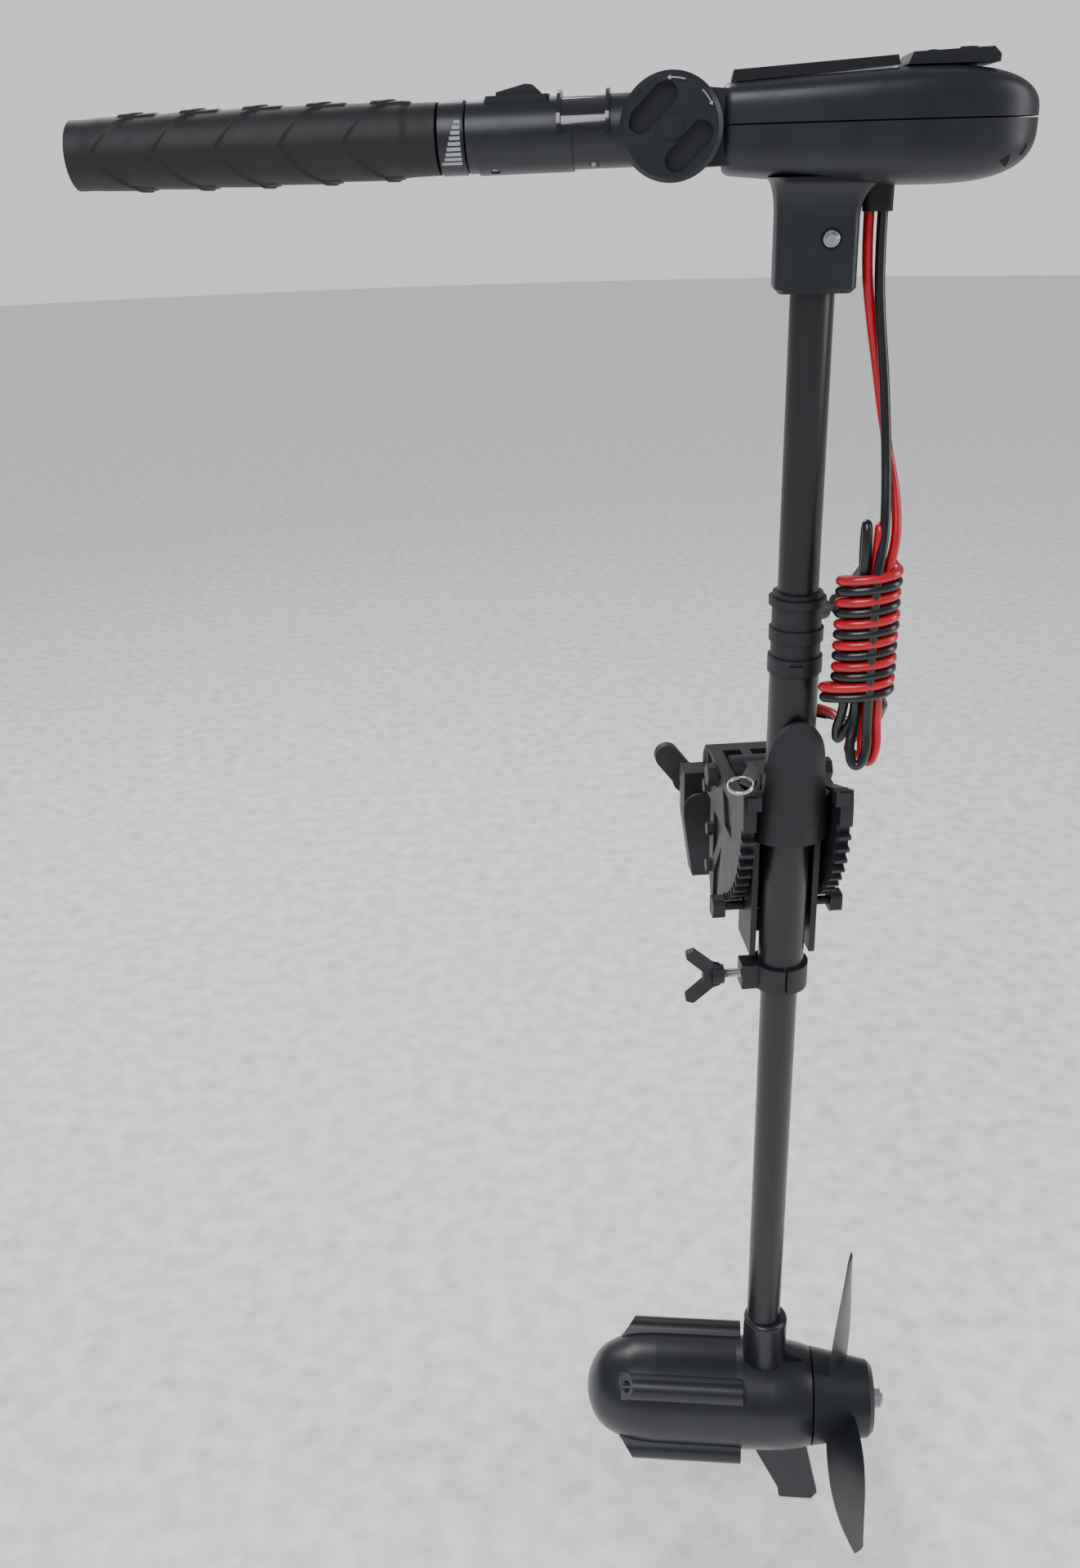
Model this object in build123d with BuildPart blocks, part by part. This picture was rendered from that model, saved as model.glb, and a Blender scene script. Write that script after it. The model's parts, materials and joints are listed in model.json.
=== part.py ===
from build123d import *
from math import atan2, cos, degrees, hypot, pi, radians, sin, tan
import os

os.makedirs("parts", exist_ok=True)

# Transom-mount electric outboard (trolling motor).  Millimetres, +Z up, +Y into the boat.
# Origin: middle of the transom seat under the bracket's bridge.

# ---- driving dimensions ---------------------------------------------------------------
SHAFT_Y = -119.0  # steering axis, outboard of the seat
SHAFT_R = 14.0
SHAFT_BORE_R = 12.0
SHAFT_TOP = 427.0
SHAFT_BOTTOM = -487.0
STEER_YAW = -10.0  # the steered parts stand turned by this in the bracket
FIT = 0.06  # radial running clearance
GAP = 0.4  # clearance between pieces that move past each other

PIVOT_Y = -54.0  # tilt pivot
PIVOT_Z = 31.0
PIVOT_BOLT_R = 5.0
ROD_R = 3.5
ROD_DROP = 91.0  # lock rod below the pivot, at rest
ROD_REACH = 43.7  # lock rod outboard of the pivot
ROD_TRAVEL = 6.0
NOTCH_COUNT = 10
NOTCH_PITCH = 6.6  # degrees

PLATE_IN = 30.0
PLATE_THICK = 9.5
PLATE_OUT = PLATE_IN + PLATE_THICK
SEAT_HALF = 31.0  # half the widest transom
JAW_THICK = 12.0
LEG_THICK = 20.0
BRIDGE_THICK = 17.0
SCREW_X = 40.0
SCREW_Z = -27.0
SCREW_R = 5.0
PAD_Y = 9.0  # clamp pad's face at rest
HANDLE_Y = 76.0

SLEEVE_R = 17.2
SLEEVE_BORE_R = 15.5
SLEEVE_TOP = 134.0
SLEEVE_BOTTOM = -117.0
ARCH_TOP = 106.0
ARCH_BOTTOM = 10.0
ARCH_FRONT = 26.0  # shield's face, outboard of the shaft axis
RING_TOP = -97.0
RING_R = 20.8

COLLAR_BOTTOM = 136.4
COLLAR_TOP = 193.0
COLLAR_R = 17.2

HEAD_BOTTOM = 448.0
HEAD_PARTING = 483.0
HEAD_TOP = 506.0
HEAD_FRONT = -58.4
HEAD_REAR = 126.0
HEAD_HALF = 46.0
SOCKET_BOTTOM = 387.0
SHELL_WALL = 3.0

TILLER_PIVOT_X = -89.0
TILLER_Z = 482.6
TILLER_DROOP = 0.9  # degrees
DIAL_R = 30.0
TILLER_R = 20.8
TILLER_END = -124.0  # places along the tiller, from its pivot
RING_END = -141.0
GRIP_END = -379.0
GRIP_R = 21.3

MOTOR_Z = -542.0
MOTOR_R = 46.5
NOSE_TIP = -153.0
NOSE_SEAM = -92.0
TUBE_SEAM = -22.0
TAIL_END = 43.0
NECK_TOP = -451.0
PROP_START = 44.0
PROP_END = 97.0
PROP_R = 130.0
PROP_FIRST = 73.4  # degrees from +Y

# ---- frames ---------------------------------------------------------------------------
yaw = radians(STEER_YAW)
bracket = Plane.XY
swivel = Plane((0, SHAFT_Y, 0))
steer = Plane((0, SHAFT_Y, 0), x_dir=(cos(yaw), sin(yaw), 0))


def turned(base, vector):
    """A direction given in a frame, as a direction of the model."""
    return base.x_dir * vector[0] + base.y_dir * vector[1] + base.z_dir * vector[2]


def level(base, z=0, x=0, y=0):
    """A plane facing +Z of a frame; sketches are drawn in its X and Y."""
    return Plane(base.from_local_coords(Vector(x, y, z)), x_dir=base.x_dir, z_dir=base.z_dir)


def side(base, y=0, x=0, z=0):
    """A plane facing -Y of a frame; sketches are drawn in its X and Z."""
    return Plane(base.from_local_coords(Vector(x, y, z)), x_dir=base.x_dir, z_dir=-base.y_dir)


def end(base, x=0, y=0, z=0):
    """A plane facing +X of a frame; sketches are drawn in its Y and Z."""
    return Plane(base.from_local_coords(Vector(x, y, z)), x_dir=base.y_dir, z_dir=base.x_dir)


def line_of(base, place, direction):
    return Axis(base.from_local_coords(Vector(*place)), turned(base, direction))


motor = level(steer, MOTOR_Z)
droop = radians(TILLER_DROOP)
tiller = Plane(
    steer.from_local_coords(Vector(TILLER_PIVOT_X, 0, TILLER_Z)),
    x_dir=turned(steer, (cos(droop), 0, sin(droop))),
    z_dir=turned(steer, (-sin(droop), 0, cos(droop))),
)


def save(piece, name):
    piece.part.label = name
    export_step(piece.part, f"parts/{name}.step")


def save_group(pieces, name):
    """Pieces that share one node, each kept as a solid of its own."""
    solids = [solid for piece in pieces for solid in piece.solids()]
    export_step(Compound(label=name, children=solids), f"parts/{name}.step")


# ---- bracket: side plates -------------------------------------------------------------
rod_radius = hypot(ROD_REACH, ROD_DROP)  # of the lock rod about the pivot
rod_angle = degrees(atan2(ROD_DROP, ROD_REACH))  # below the outboard horizontal, at rest
tip_radius = rod_radius - ROD_R - 0.6
floor_radius = rod_radius - ROD_TRAVEL - ROD_R - GAP
SEAT_FRONT = -SEAT_HALF
PLATE_BACK = -15.0
LUG = 10.5


def from_pivot(radius, below):
    """A point about the tilt pivot, by its angle below the outboard horizontal."""
    return (
        PIVOT_Y - radius * cos(radians(below)),
        PIVOT_Z - radius * sin(radians(below)),
    )


def side_plate(hand):
    inner = PLATE_IN if hand > 0 else -PLATE_OUT
    outer = PLATE_OUT if hand > 0 else -PLATE_OUT
    with BuildPart() as plate:
        with BuildSketch(end(bracket, inner)) as outline:
            with BuildLine():
                top = from_pivot(tip_radius, -14)
                low = from_pivot(tip_radius, rod_angle + 5)
                middle = from_pivot(tip_radius, rod_angle / 2 - 5)
                ThreePointArc(top, middle, low)
                Polyline(
                    low,
                    (low[0] + 14, low[1] - 9),
                    (SEAT_FRONT - 14, -88),
                    (SEAT_FRONT - 2.2, -62),
                    (SEAT_FRONT - 2.2, 0.4),
                    (PLATE_BACK, 0.4),
                    (PLATE_BACK, 32),
                    (PLATE_BACK - 8, 40),
                    (SHAFT_Y + 20, 38),
                    top,
                )
            make_face()
            for step in range(NOTCH_COUNT):
                below = rod_angle - step * NOTCH_PITCH
                with Locations(from_pivot((tip_radius + floor_radius) / 2 + 5, below)):
                    Rectangle(tip_radius - floor_radius + 10, 2 * ROD_R + 1.2,
                              rotation=below, mode=Mode.SUBTRACT)
            with Locations((PIVOT_Y, PIVOT_Z)):
                Circle(PIVOT_BOLT_R + 0.02, mode=Mode.SUBTRACT)
            with Locations(*tie_places):
                Circle(3.0, mode=Mode.SUBTRACT)
        extrude(amount=PLATE_THICK)
        with BuildSketch(end(bracket, outer - hand * 2.5)) as pockets:
            for triangle in rib_pockets:
                with BuildLine():
                    Polyline(*triangle, close=True)
                make_face()
        extrude(amount=hand * 3, mode=Mode.SUBTRACT)
        lug_y, lug_z = from_pivot(tip_radius - 4, -10.5)
        with BuildSketch(end(bracket, hand * (PLATE_IN - 3.5))):
            with Locations((lug_y, lug_z)):
                Rectangle(LUG, LUG)
        extrude(amount=hand * LUG)
    return plate


tie_places = [(SEAT_FRONT - 8, -22), (SEAT_FRONT - 8, -54), (SEAT_FRONT + 8, 8.5)]
rib_pockets = [
    [(PLATE_BACK - 3, 36), (PIVOT_Y - 18, 35), (PLATE_BACK - 3, 16)],
    [(SEAT_FRONT - 16, -2), (SEAT_FRONT - 16, -44), (SHAFT_Y + 40, -2)],
    [(SEAT_FRONT - 20, -54), (SEAT_FRONT - 20, -78), (SHAFT_Y + 53, -72), (SHAFT_Y + 40, -18)],
    [(SHAFT_Y + 8, 30), (PIVOT_Y - 24, 30), (SHAFT_Y + 30, 4), (SHAFT_Y + 6, 4)],
]
side_plate_left = side_plate(-1)
save(side_plate_left, "side_plate_left")
side_plate_right = side_plate(1)
save(side_plate_right, "side_plate_right")

# ---- bracket: clamp casting, an inverted U over the transom ---------------------------
with BuildPart() as clamp_casting:
    with BuildSketch(end(bracket, -PLATE_IN)) as u_profile:
        with BuildLine():
            Polyline(
                (SEAT_FRONT - 2, 0),
                (SEAT_HALF, 0),
                (SEAT_HALF, -4),
                (SEAT_HALF + LEG_THICK, -4),
                (SEAT_HALF + LEG_THICK, 6),
                (SEAT_HALF + LEG_THICK - 10, BRIDGE_THICK),
                (SEAT_FRONT - 2, BRIDGE_THICK),
                (SEAT_FRONT - 2 - JAW_THICK, 5),
                (SEAT_FRONT - 2 - JAW_THICK, -82),
                (SEAT_FRONT - 7, -90),
                (SEAT_FRONT - 2, -90),
                close=True,
            )
        make_face()
    extrude(amount=2 * PLATE_IN)
    with BuildSketch(side(bracket, SEAT_HALF + LEG_THICK)) as leg_front:
        with BuildLine():
            Polyline(
                (-SCREW_X - 9, -4), (SCREW_X + 9, -4), (SCREW_X + 9, -44), (SCREW_X + 1, -100),
                (SCREW_X - 20, -100), (SCREW_X - 24, -60), (24 - SCREW_X, -60),
                (20 - SCREW_X, -100), (-SCREW_X - 1, -100), (-SCREW_X - 9, -44), close=True,
            )
        make_face()
    extrude(amount=LEG_THICK)
    with BuildSketch(side(bracket, SEAT_HALF + LEG_THICK + 3)) as ledge:
        with Locations((0, -12)):
            Rectangle(2 * SCREW_X + 18, 16)
    extrude(amount=4)
    with BuildSketch(side(bracket, SEAT_HALF + LEG_THICK + 3)) as bosses:
        with Locations((-SCREW_X, SCREW_Z), (SCREW_X, SCREW_Z)):
            Circle(9)
    extrude(amount=LEG_THICK + 3)
    with BuildSketch(side(bracket, SEAT_HALF + LEG_THICK + 4)) as screw_bores:
        with Locations((-SCREW_X, SCREW_Z), (SCREW_X, SCREW_Z)):
            Circle(SCREW_R + FIT)
    extrude(amount=LEG_THICK + 6, mode=Mode.SUBTRACT)
    with BuildSketch(end(bracket, -PLATE_IN - 1)) as tie_bores:
        with Locations(*tie_places):
            Circle(3.0)
    extrude(amount=2 * PLATE_IN + 2, mode=Mode.SUBTRACT)
    with BuildSketch(level(bracket, BRIDGE_THICK)) as lightening:
        with Locations((-14, 14), (14, 14)):
            Rectangle(20, 24)
    extrude(amount=-10, mode=Mode.SUBTRACT)
save(clamp_casting, "clamp_casting")

with BuildPart() as transom_pad:
    with BuildSketch(side(bracket, SEAT_FRONT, z=-46)):
        RectangleRounded(2 * PLATE_IN - 8, 76, 4)
    extrude(amount=2)
save(transom_pad, "transom_pad")

with BuildPart() as tie_bolts:
    for y, z in tie_places:
        with BuildSketch(end(bracket, -PLATE_OUT, y, z)):
            Circle(2.97)
        extrude(amount=2 * PLATE_OUT + 8)
        with BuildSketch(end(bracket, -PLATE_OUT, y, z)):
            RegularPolygon(5.5, 6)
        extrude(amount=-4)

with BuildPart() as tie_nuts:
    for y, z in tie_places:
        with BuildSketch(end(bracket, PLATE_OUT, y, z)):
            RegularPolygon(5.5, 6)
            Circle(3.0, mode=Mode.SUBTRACT)
        extrude(amount=5)

with BuildPart() as pivot_bolt:
    with BuildSketch(end(bracket, -PLATE_OUT - 1.6, PIVOT_Y, PIVOT_Z)):
        Circle(PIVOT_BOLT_R)
    extrude(amount=2 * PLATE_OUT + 12)
    with BuildSketch(end(bracket, -PLATE_OUT - 1.6, PIVOT_Y, PIVOT_Z)):
        RegularPolygon(9, 6)
    extrude(amount=-6.4)
save(pivot_bolt, "pivot_bolt")

with BuildPart() as pivot_nut:
    with BuildSketch(end(bracket, PLATE_OUT + 1.6, PIVOT_Y, PIVOT_Z)):
        RegularPolygon(9, 6)
        Circle(PIVOT_BOLT_R + 0.02, mode=Mode.SUBTRACT)
    extrude(amount=8)

with BuildPart() as pivot_washers:
    for x in (-PLATE_OUT - 1.6, PLATE_OUT):
        with BuildSketch(end(bracket, x, PIVOT_Y, PIVOT_Z)):
            Circle(10)
            Circle(PIVOT_BOLT_R + 0.02, mode=Mode.SUBTRACT)
        extrude(amount=1.6)
save_group([tie_bolts.part, tie_nuts.part, pivot_nut.part, pivot_washers.part], "bracket_fasteners")


# ---- transom clamp screws -------------------------------------------------------------
def clamp_set(name, x, wing_turn):
    """A swivel pad, its screw and its two-winged handle."""
    screw_line = Plane((x, 0, SCREW_Z), x_dir=(1, 0, 0), z_dir=(0, 1, 0))
    with BuildPart() as pad:
        with BuildSketch(screw_line.offset(PAD_Y)):
            Circle(13)
        extrude(amount=3)
        with BuildSketch(screw_line.offset(PAD_Y + 3)):
            Circle(10)
        extrude(amount=5, taper=12)
        with BuildSketch(screw_line.offset(PAD_Y + 2.5)):
            Circle(4.2)
        extrude(amount=6, mode=Mode.SUBTRACT)
    save(pad, f"{name}_clamp_pad")
    with BuildPart() as screw:
        with BuildSketch(screw_line.offset(PAD_Y + 3)):
            Circle(3.8)
        extrude(amount=6)
        with BuildSketch(screw_line.offset(PAD_Y + 9)):
            Circle(SCREW_R)
        extrude(amount=HANDLE_Y - PAD_Y - 7)
    wing = Plane(screw_line.offset(HANDLE_Y - 6).origin, x_dir=(cos(wing_turn), 0, sin(wing_turn)),
                 z_dir=(0, 1, 0))
    with BuildPart() as handle:
        with BuildSketch(wing.offset(3)):
            SlotOverall(74, 21)
        extrude(amount=9)
        with BuildSketch(wing):
            Circle(12)
        extrude(amount=15)
        with BuildSketch(wing.offset(-1)):
            Circle(SCREW_R)
        extrude(amount=9, mode=Mode.SUBTRACT)
        fillet(handle.edges().filter_by(GeomType.CIRCLE).group_by(Axis.Y)[-1], 2)
    save_group([screw.part, handle.part], f"{name}_clamp_screw")


clamp_set("left", -SCREW_X, radians(128))
clamp_set("right", SCREW_X, radians(35))

# ---- tilting yoke ---------------------------------------------------------------------
ARCH_HALF = 28.5
ARCH_SIDE_Y = -8.0
WALL_X = 20.5
WALL_THICK = 4.5
CHANNEL_BACK = 37.0
KNUCKLE_R = 14.0
KNUCKLE_REACH = PIVOT_Y - SHAFT_Y
STRAP_WIDTH = 12.0
STRAP_THICK = 1.6
STRAP_X = -19.0
rod_y, rod_z = from_pivot(rod_radius, rod_angle)
lift = radians(rod_angle)
ROD_STEP = (0, cos(lift) * ROD_TRAVEL, sin(lift) * ROD_TRAVEL)

with BuildPart() as swivel_housing:
    with BuildSketch(level(swivel, ARCH_BOTTOM)) as hub_outline:
        with BuildLine():
            ThreePointArc((-ARCH_HALF, ARCH_SIDE_Y), (0, -ARCH_FRONT), (ARCH_HALF, ARCH_SIDE_Y))
            Polyline((ARCH_HALF, ARCH_SIDE_Y), (26, 16), (20, 24), (-20, 24), (-26, 16),
                     (-ARCH_HALF, ARCH_SIDE_Y))
        make_face()
    extrude(amount=34)
    with BuildSketch(level(swivel, ARCH_BOTTOM)) as shield_outline:
        with BuildLine():
            ThreePointArc((-ARCH_HALF, ARCH_SIDE_Y), (0, -ARCH_FRONT), (ARCH_HALF, ARCH_SIDE_Y))
            Polyline((ARCH_HALF, ARCH_SIDE_Y), (ARCH_HALF - 3.5, ARCH_SIDE_Y + 2))
            ThreePointArc((ARCH_HALF - 3.5, ARCH_SIDE_Y + 2), (0, -ARCH_FRONT + 4),
                          (3.5 - ARCH_HALF, ARCH_SIDE_Y + 2))
            Line((3.5 - ARCH_HALF, ARCH_SIDE_Y + 2), (-ARCH_HALF, ARCH_SIDE_Y))
        make_face()
    extrude(amount=ARCH_TOP - ARCH_BOTTOM)
    with BuildSketch(end(swivel, -20)) as web:
        with Locations(((20 + KNUCKLE_REACH) / 2, PIVOT_Z)):
            Rectangle(KNUCKLE_REACH - 20, 25)
    extrude(amount=40)
    with BuildSketch(end(swivel, -29.3, KNUCKLE_REACH, PIVOT_Z)) as knuckle:
        Circle(KNUCKLE_R)
    extrude(amount=58.6)
    with BuildSketch(level(swivel, -90)) as channel:
        with BuildLine():
            outer = WALL_X + WALL_THICK
            Polyline((-outer, -4), (-outer, CHANNEL_BACK), (outer, CHANNEL_BACK), (outer, -4),
                     (WALL_X, -4), (WALL_X, CHANNEL_BACK - 5), (-WALL_X, CHANNEL_BACK - 5),
                     (-WALL_X, -4), close=True)
        make_face()
    extrude(amount=90 + ARCH_BOTTOM + 9)
    with BuildSketch(side(swivel, -40)) as arch_outline:
        with BuildLine():
            Polyline((-ARCH_HALF, 18), (-ARCH_HALF, -90), (ARCH_HALF, -90), (ARCH_HALF, 18))
            Spline((ARCH_HALF, 18), (22, 55), (13, 98), (0, ARCH_TOP), (-13, 98), (-22, 55),
                   (-ARCH_HALF, 18), tangents=[(-0.1, 1), (-0.1, -1)])
        make_face()
        with Locations((0, PIVOT_Z)):
            Rectangle(70, 2 * KNUCKLE_R)
    extrude(amount=-130, mode=Mode.INTERSECT)
    with BuildSketch(level(swivel, -91)) as sleeve_bore:
        Circle(SLEEVE_R + 0.02)
    extrude(amount=240, mode=Mode.SUBTRACT)
    with BuildSketch(end(swivel, -30, KNUCKLE_REACH, PIVOT_Z)) as bushing_bore:
        Circle(7.5)
    extrude(amount=60, mode=Mode.SUBTRACT)
    with BuildSketch(end(swivel, -30, rod_y - SHAFT_Y + ROD_STEP[1] / 2, rod_z + ROD_STEP[2] / 2)):
        SlotOverall(ROD_TRAVEL + 2 * ROD_R + 1.2, 2 * ROD_R + 0.8, rotation=rod_angle)
    extrude(amount=60, mode=Mode.SUBTRACT)
    with BuildSketch(end(swivel, STRAP_X - 1.9)) as strap_slot:
        with Locations((14, 20)):
            Rectangle(22, 60)
    extrude(amount=3.6, mode=Mode.SUBTRACT)
    for x in (-WALL_X - WALL_THICK - 4, WALL_X + WALL_THICK - 1):
        with BuildSketch(end(swivel, x, rod_y - SHAFT_Y + 4.4 * ROD_STEP[1],
                             rod_z + 4.4 * ROD_STEP[2])) as spring_posts:
            Circle(1.2)
        extrude(amount=5)
save(swivel_housing, "swivel_housing")

with BuildPart() as sleeve_tube:
    with BuildSketch(level(swivel, SLEEVE_BOTTOM)):
        Circle(SLEEVE_R)
        Circle(SLEEVE_BORE_R, mode=Mode.SUBTRACT)
    extrude(amount=SLEEVE_TOP - SLEEVE_BOTTOM)
    with BuildSketch(end(swivel, -20, 0, (RING_TOP + SLEEVE_BOTTOM) / 2)):
        Circle(5)
    extrude(amount=20, mode=Mode.SUBTRACT)
save(sleeve_tube, "sleeve_tube")


def bushing(flange_z, tube_z, window=False):
    """A flanged plain bearing between the sleeve and the shaft."""
    with BuildPart() as sleeve:
        with BuildSketch(level(swivel, min(flange_z, tube_z))):
            Circle(SLEEVE_BORE_R - 0.02)
        extrude(amount=abs(tube_z - flange_z))
        with BuildSketch(level(swivel, flange_z)):
            Circle(SLEEVE_R)
        extrude(amount=2 if flange_z > tube_z else -2)
        with BuildSketch(level(swivel, min(flange_z, tube_z) - 5)):
            Circle(SHAFT_R + FIT)
        extrude(amount=abs(tube_z - flange_z) + 10, mode=Mode.SUBTRACT)
        if window:
            with BuildSketch(end(swivel, -20, 0, (RING_TOP + SLEEVE_BOTTOM) / 2)):
                Circle(5)
            extrude(amount=20, mode=Mode.SUBTRACT)
    return sleeve.part


upper_bushing = bushing(SLEEVE_TOP, SLEEVE_TOP - 34)
lower_bushing = bushing(SLEEVE_BOTTOM, SLEEVE_BOTTOM + 32, window=True)

with BuildPart() as pivot_bushings:
    for x, way in ((-29.3, 1), (29.3, -1)):
        with BuildSketch(end(swivel, x, KNUCKLE_REACH, PIVOT_Z)):
            Circle(7.48)
            Circle(PIVOT_BOLT_R + FIT, mode=Mode.SUBTRACT)
        extrude(amount=22 * way)
save_group([upper_bushing, lower_bushing, pivot_bushings.part], "swivel_bushings")

CLAMP_Z = (RING_TOP + SLEEVE_BOTTOM) / 2
SHOE_R = 4.4
STUD_R = 2.6
THREAD_DEPTH = 3.5
BOSS_X = 31.0
with BuildPart() as clamp_ring:
    with BuildSketch(level(swivel, SLEEVE_BOTTOM)):
        Circle(RING_R)
        with Locations((-BOSS_X / 2, 0)):
            Rectangle(BOSS_X, 17)
        Circle(SLEEVE_R + 0.02, mode=Mode.SUBTRACT)
        with Locations((0, -RING_R)):
            Rectangle(1.6, 10, mode=Mode.SUBTRACT)
    extrude(amount=RING_TOP - SLEEVE_BOTTOM)
    with BuildSketch(end(swivel, -BOSS_X + THREAD_DEPTH, 0, CLAMP_Z)):
        Circle(SHOE_R)
    extrude(amount=18, mode=Mode.SUBTRACT)
    with BuildSketch(end(swivel, -BOSS_X - 1, 0, CLAMP_Z)):
        Circle(STUD_R + FIT)
    extrude(amount=20, mode=Mode.SUBTRACT)
save(clamp_ring, "steering_clamp_ring")


def wing_knob(base, prefix, z, turn, reach):
    """A pressure shoe on the shaft, and the winged knob whose stud drives it."""
    arm = Plane(base.from_local_coords(Vector(0, 0, z)),
                x_dir=turned(base, (cos(turn), sin(turn), 0)))
    with BuildPart() as shoe:
        with BuildSketch(end(arm, SHAFT_R - 3)):
            Circle(SHOE_R - 0.3)
        extrude(amount=reach - 7 - SHAFT_R + 3)
        with BuildSketch(level(arm, -6)):
            Circle(SHAFT_R + 0.35)
        extrude(amount=12, mode=Mode.SUBTRACT)
    save(shoe, f"{prefix}_shoe")
    with BuildPart() as knob:
        with BuildSketch(end(arm, reach - 6.6)):
            Circle(STUD_R)
        extrude(amount=22)
        with BuildSketch(end(arm, reach + 13)):
            Circle(7.5)
        extrude(amount=9)
        with BuildSketch(side(arm, 3)) as wings:
            with BuildLine():
                Polyline((reach + 15, 0), (reach + 15, 8), (reach + 21, 10), (reach + 36, 23),
                         (reach + 42, 21), (reach + 42, 16), (reach + 29, 4), (reach + 29, 0))
                Line((reach + 29, 0), (reach + 15, 0))
            make_face()
            mirror(about=Plane.XZ)
        extrude(amount=6)
        fillet(knob.edges().filter_by(Axis((0, 0, 0), turned(arm, (0, 1, 0)))), 1.5)
    save(knob, f"{prefix}_wing_knob")


wing_knob(swivel, "steering", CLAMP_Z, pi, BOSS_X)

# ---- lock rod, across the notches of both plates --------------------------------------
CAP_X = PLATE_OUT + 1.0
with BuildPart() as lock_rod:
    with BuildSketch(end(bracket, -CAP_X, rod_y, rod_z)):
        Circle(ROD_R)
    extrude(amount=2 * CAP_X)

with BuildPart() as rod_caps:
    for x, way in ((-CAP_X, -1), (CAP_X, 1)):
        with BuildSketch(end(bracket, x, rod_y, rod_z)):
            RectangleRounded(15, 15, 3.5)
        extrude(amount=9.5 * way)
save_group([lock_rod.part, rod_caps.part], "lock_rod")

with BuildPart() as lock_springs:
    along = Plane((0, rod_y, rod_z), x_dir=(1, 0, 0), z_dir=(0, cos(lift), sin(lift)))
    for x in (-27.6, 27.6):
        with BuildSketch(along.offset(ROD_R + 0.3)):
            with Locations((x, 0)):
                Circle(1.9)
                Circle(1.2, mode=Mode.SUBTRACT)
        extrude(amount=4.4 * ROD_TRAVEL - ROD_R - 2.0)
save(lock_springs, "lock_springs")

# ---- pull strap and its split ring ----------------------------------------------------
strap_stations = [  # place, then the direction of the width
    ((STRAP_X, 21.3, -54), (0, 1, 0.3)),
    ((STRAP_X, 15, 0), (0, 1, 0)),
    ((STRAP_X, 12, 52), (0, 1, 0)),
    ((-22.5, 3, 61), (-0.3, 1, 0.6)),
    ((-27.5, -8, 66), (-0.7, 0.6, 0.5)),
    ((-36, -20, 62), (-0.7, 0.6, 0.3)),
]
with BuildPart() as pull_strap:
    places = [Vector(swivel.from_local_coords(Vector(*p))) for p, width in strap_stations]
    for step, (place, width) in enumerate(strap_stations):
        ahead = places[min(step + 1, len(places) - 1)] - places[max(step - 1, 0)]
        across = Vector(*width)
        across -= ahead.normalized() * across.dot(ahead.normalized())
        with BuildSketch(Plane(places[step], x_dir=across, z_dir=ahead)):
            Rectangle(STRAP_WIDTH, STRAP_THICK)
    loft(ruled=True)
save(pull_strap, "pull_strap")

RING_MEAN = 9.0
ring_centre = swivel.from_local_coords(Vector(-41.5, -28.5, 62.5))
ring_plane = Plane(ring_centre, x_dir=(0.9, 0.4, 0.2), z_dir=turned(swivel, (-0.15, -0.25, 1)))
with BuildPart() as split_ring:
    with BuildSketch(Plane(ring_centre, x_dir=ring_plane.z_dir, z_dir=ring_plane.y_dir)) as wire:
        with Locations((0, RING_MEAN)):
            Circle(1.1)
    revolve(axis=Axis(ring_centre, ring_plane.z_dir))
save(split_ring, "split_ring")

# ---- depth collar ---------------------------------------------------------------------
KNOB_TURN = radians(40)
KNOB_Z = 176.0
COLLAR_REACH = 25.0
collar_rings = [(COLLAR_BOTTOM, 147.8, 19.0), (159.0, 168.0, 18.8), (184.3, 189.5, 19.7)]
with BuildPart() as depth_collar:
    with BuildSketch(side(steer)) as collar_profile:
        with BuildLine():
            outline = [(SHAFT_R + FIT, COLLAR_BOTTOM)]
            for low, high, radius in collar_rings:
                outline += [(COLLAR_R, low), (radius, low), (radius, high), (COLLAR_R, high)]
            outline += [(COLLAR_R, COLLAR_TOP), (SHAFT_R + FIT, COLLAR_TOP)]
            outline.remove((COLLAR_R, COLLAR_BOTTOM))
            Polyline(*outline, close=True)
        make_face()
    revolve(axis=line_of(steer, (0, 0, 0), (0, 0, 1)))
    boss_plane = Plane(steer.from_local_coords(Vector(0, 0, KNOB_Z)),
                       x_dir=(0, 0, 1), z_dir=turned(steer, (cos(KNOB_TURN), sin(KNOB_TURN), 0)))
    with BuildSketch(boss_plane.offset(COLLAR_R - 1.8)):
        Circle(7.6)
    extrude(amount=COLLAR_REACH - COLLAR_R + 1.8)
    with BuildSketch(level(steer, COLLAR_BOTTOM + 2, y=-COLLAR_R - 1.5)):
        Rectangle(9, 4)
    extrude(amount=6)
    with BuildSketch(boss_plane):
        Circle(SHOE_R)
    extrude(amount=COLLAR_REACH - THREAD_DEPTH, mode=Mode.SUBTRACT)
    with BuildSketch(boss_plane):
        Circle(STUD_R + FIT)
    extrude(amount=COLLAR_REACH + 2, mode=Mode.SUBTRACT)
save(depth_collar, "depth_collar")
wing_knob(steer, "depth", KNOB_Z, KNOB_TURN, COLLAR_REACH)

# ---- shaft tube -----------------------------------------------------------------------
with BuildPart() as shaft_tube:
    with BuildSketch(level(steer, SHAFT_BOTTOM)):
        Circle(SHAFT_R)
        Circle(SHAFT_BORE_R, mode=Mode.SUBTRACT)
    extrude(amount=SHAFT_TOP - SHAFT_BOTTOM)
save(shaft_tube, "shaft_tube")

with BuildPart() as inner_leads:
    for x in (-4, 4):
        with BuildSketch(level(steer, MOTOR_Z + 55, x)):
            Circle(2.6)
        extrude(amount=SHAFT_TOP + 20 - MOTOR_Z - 55)

# ---- control head ---------------------------------------------------------------------
POD_FRONT = 46.0
POD_REAR = 98.0
SOCKET_HALF = 25.0
GLAND_X = 37.0


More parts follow.
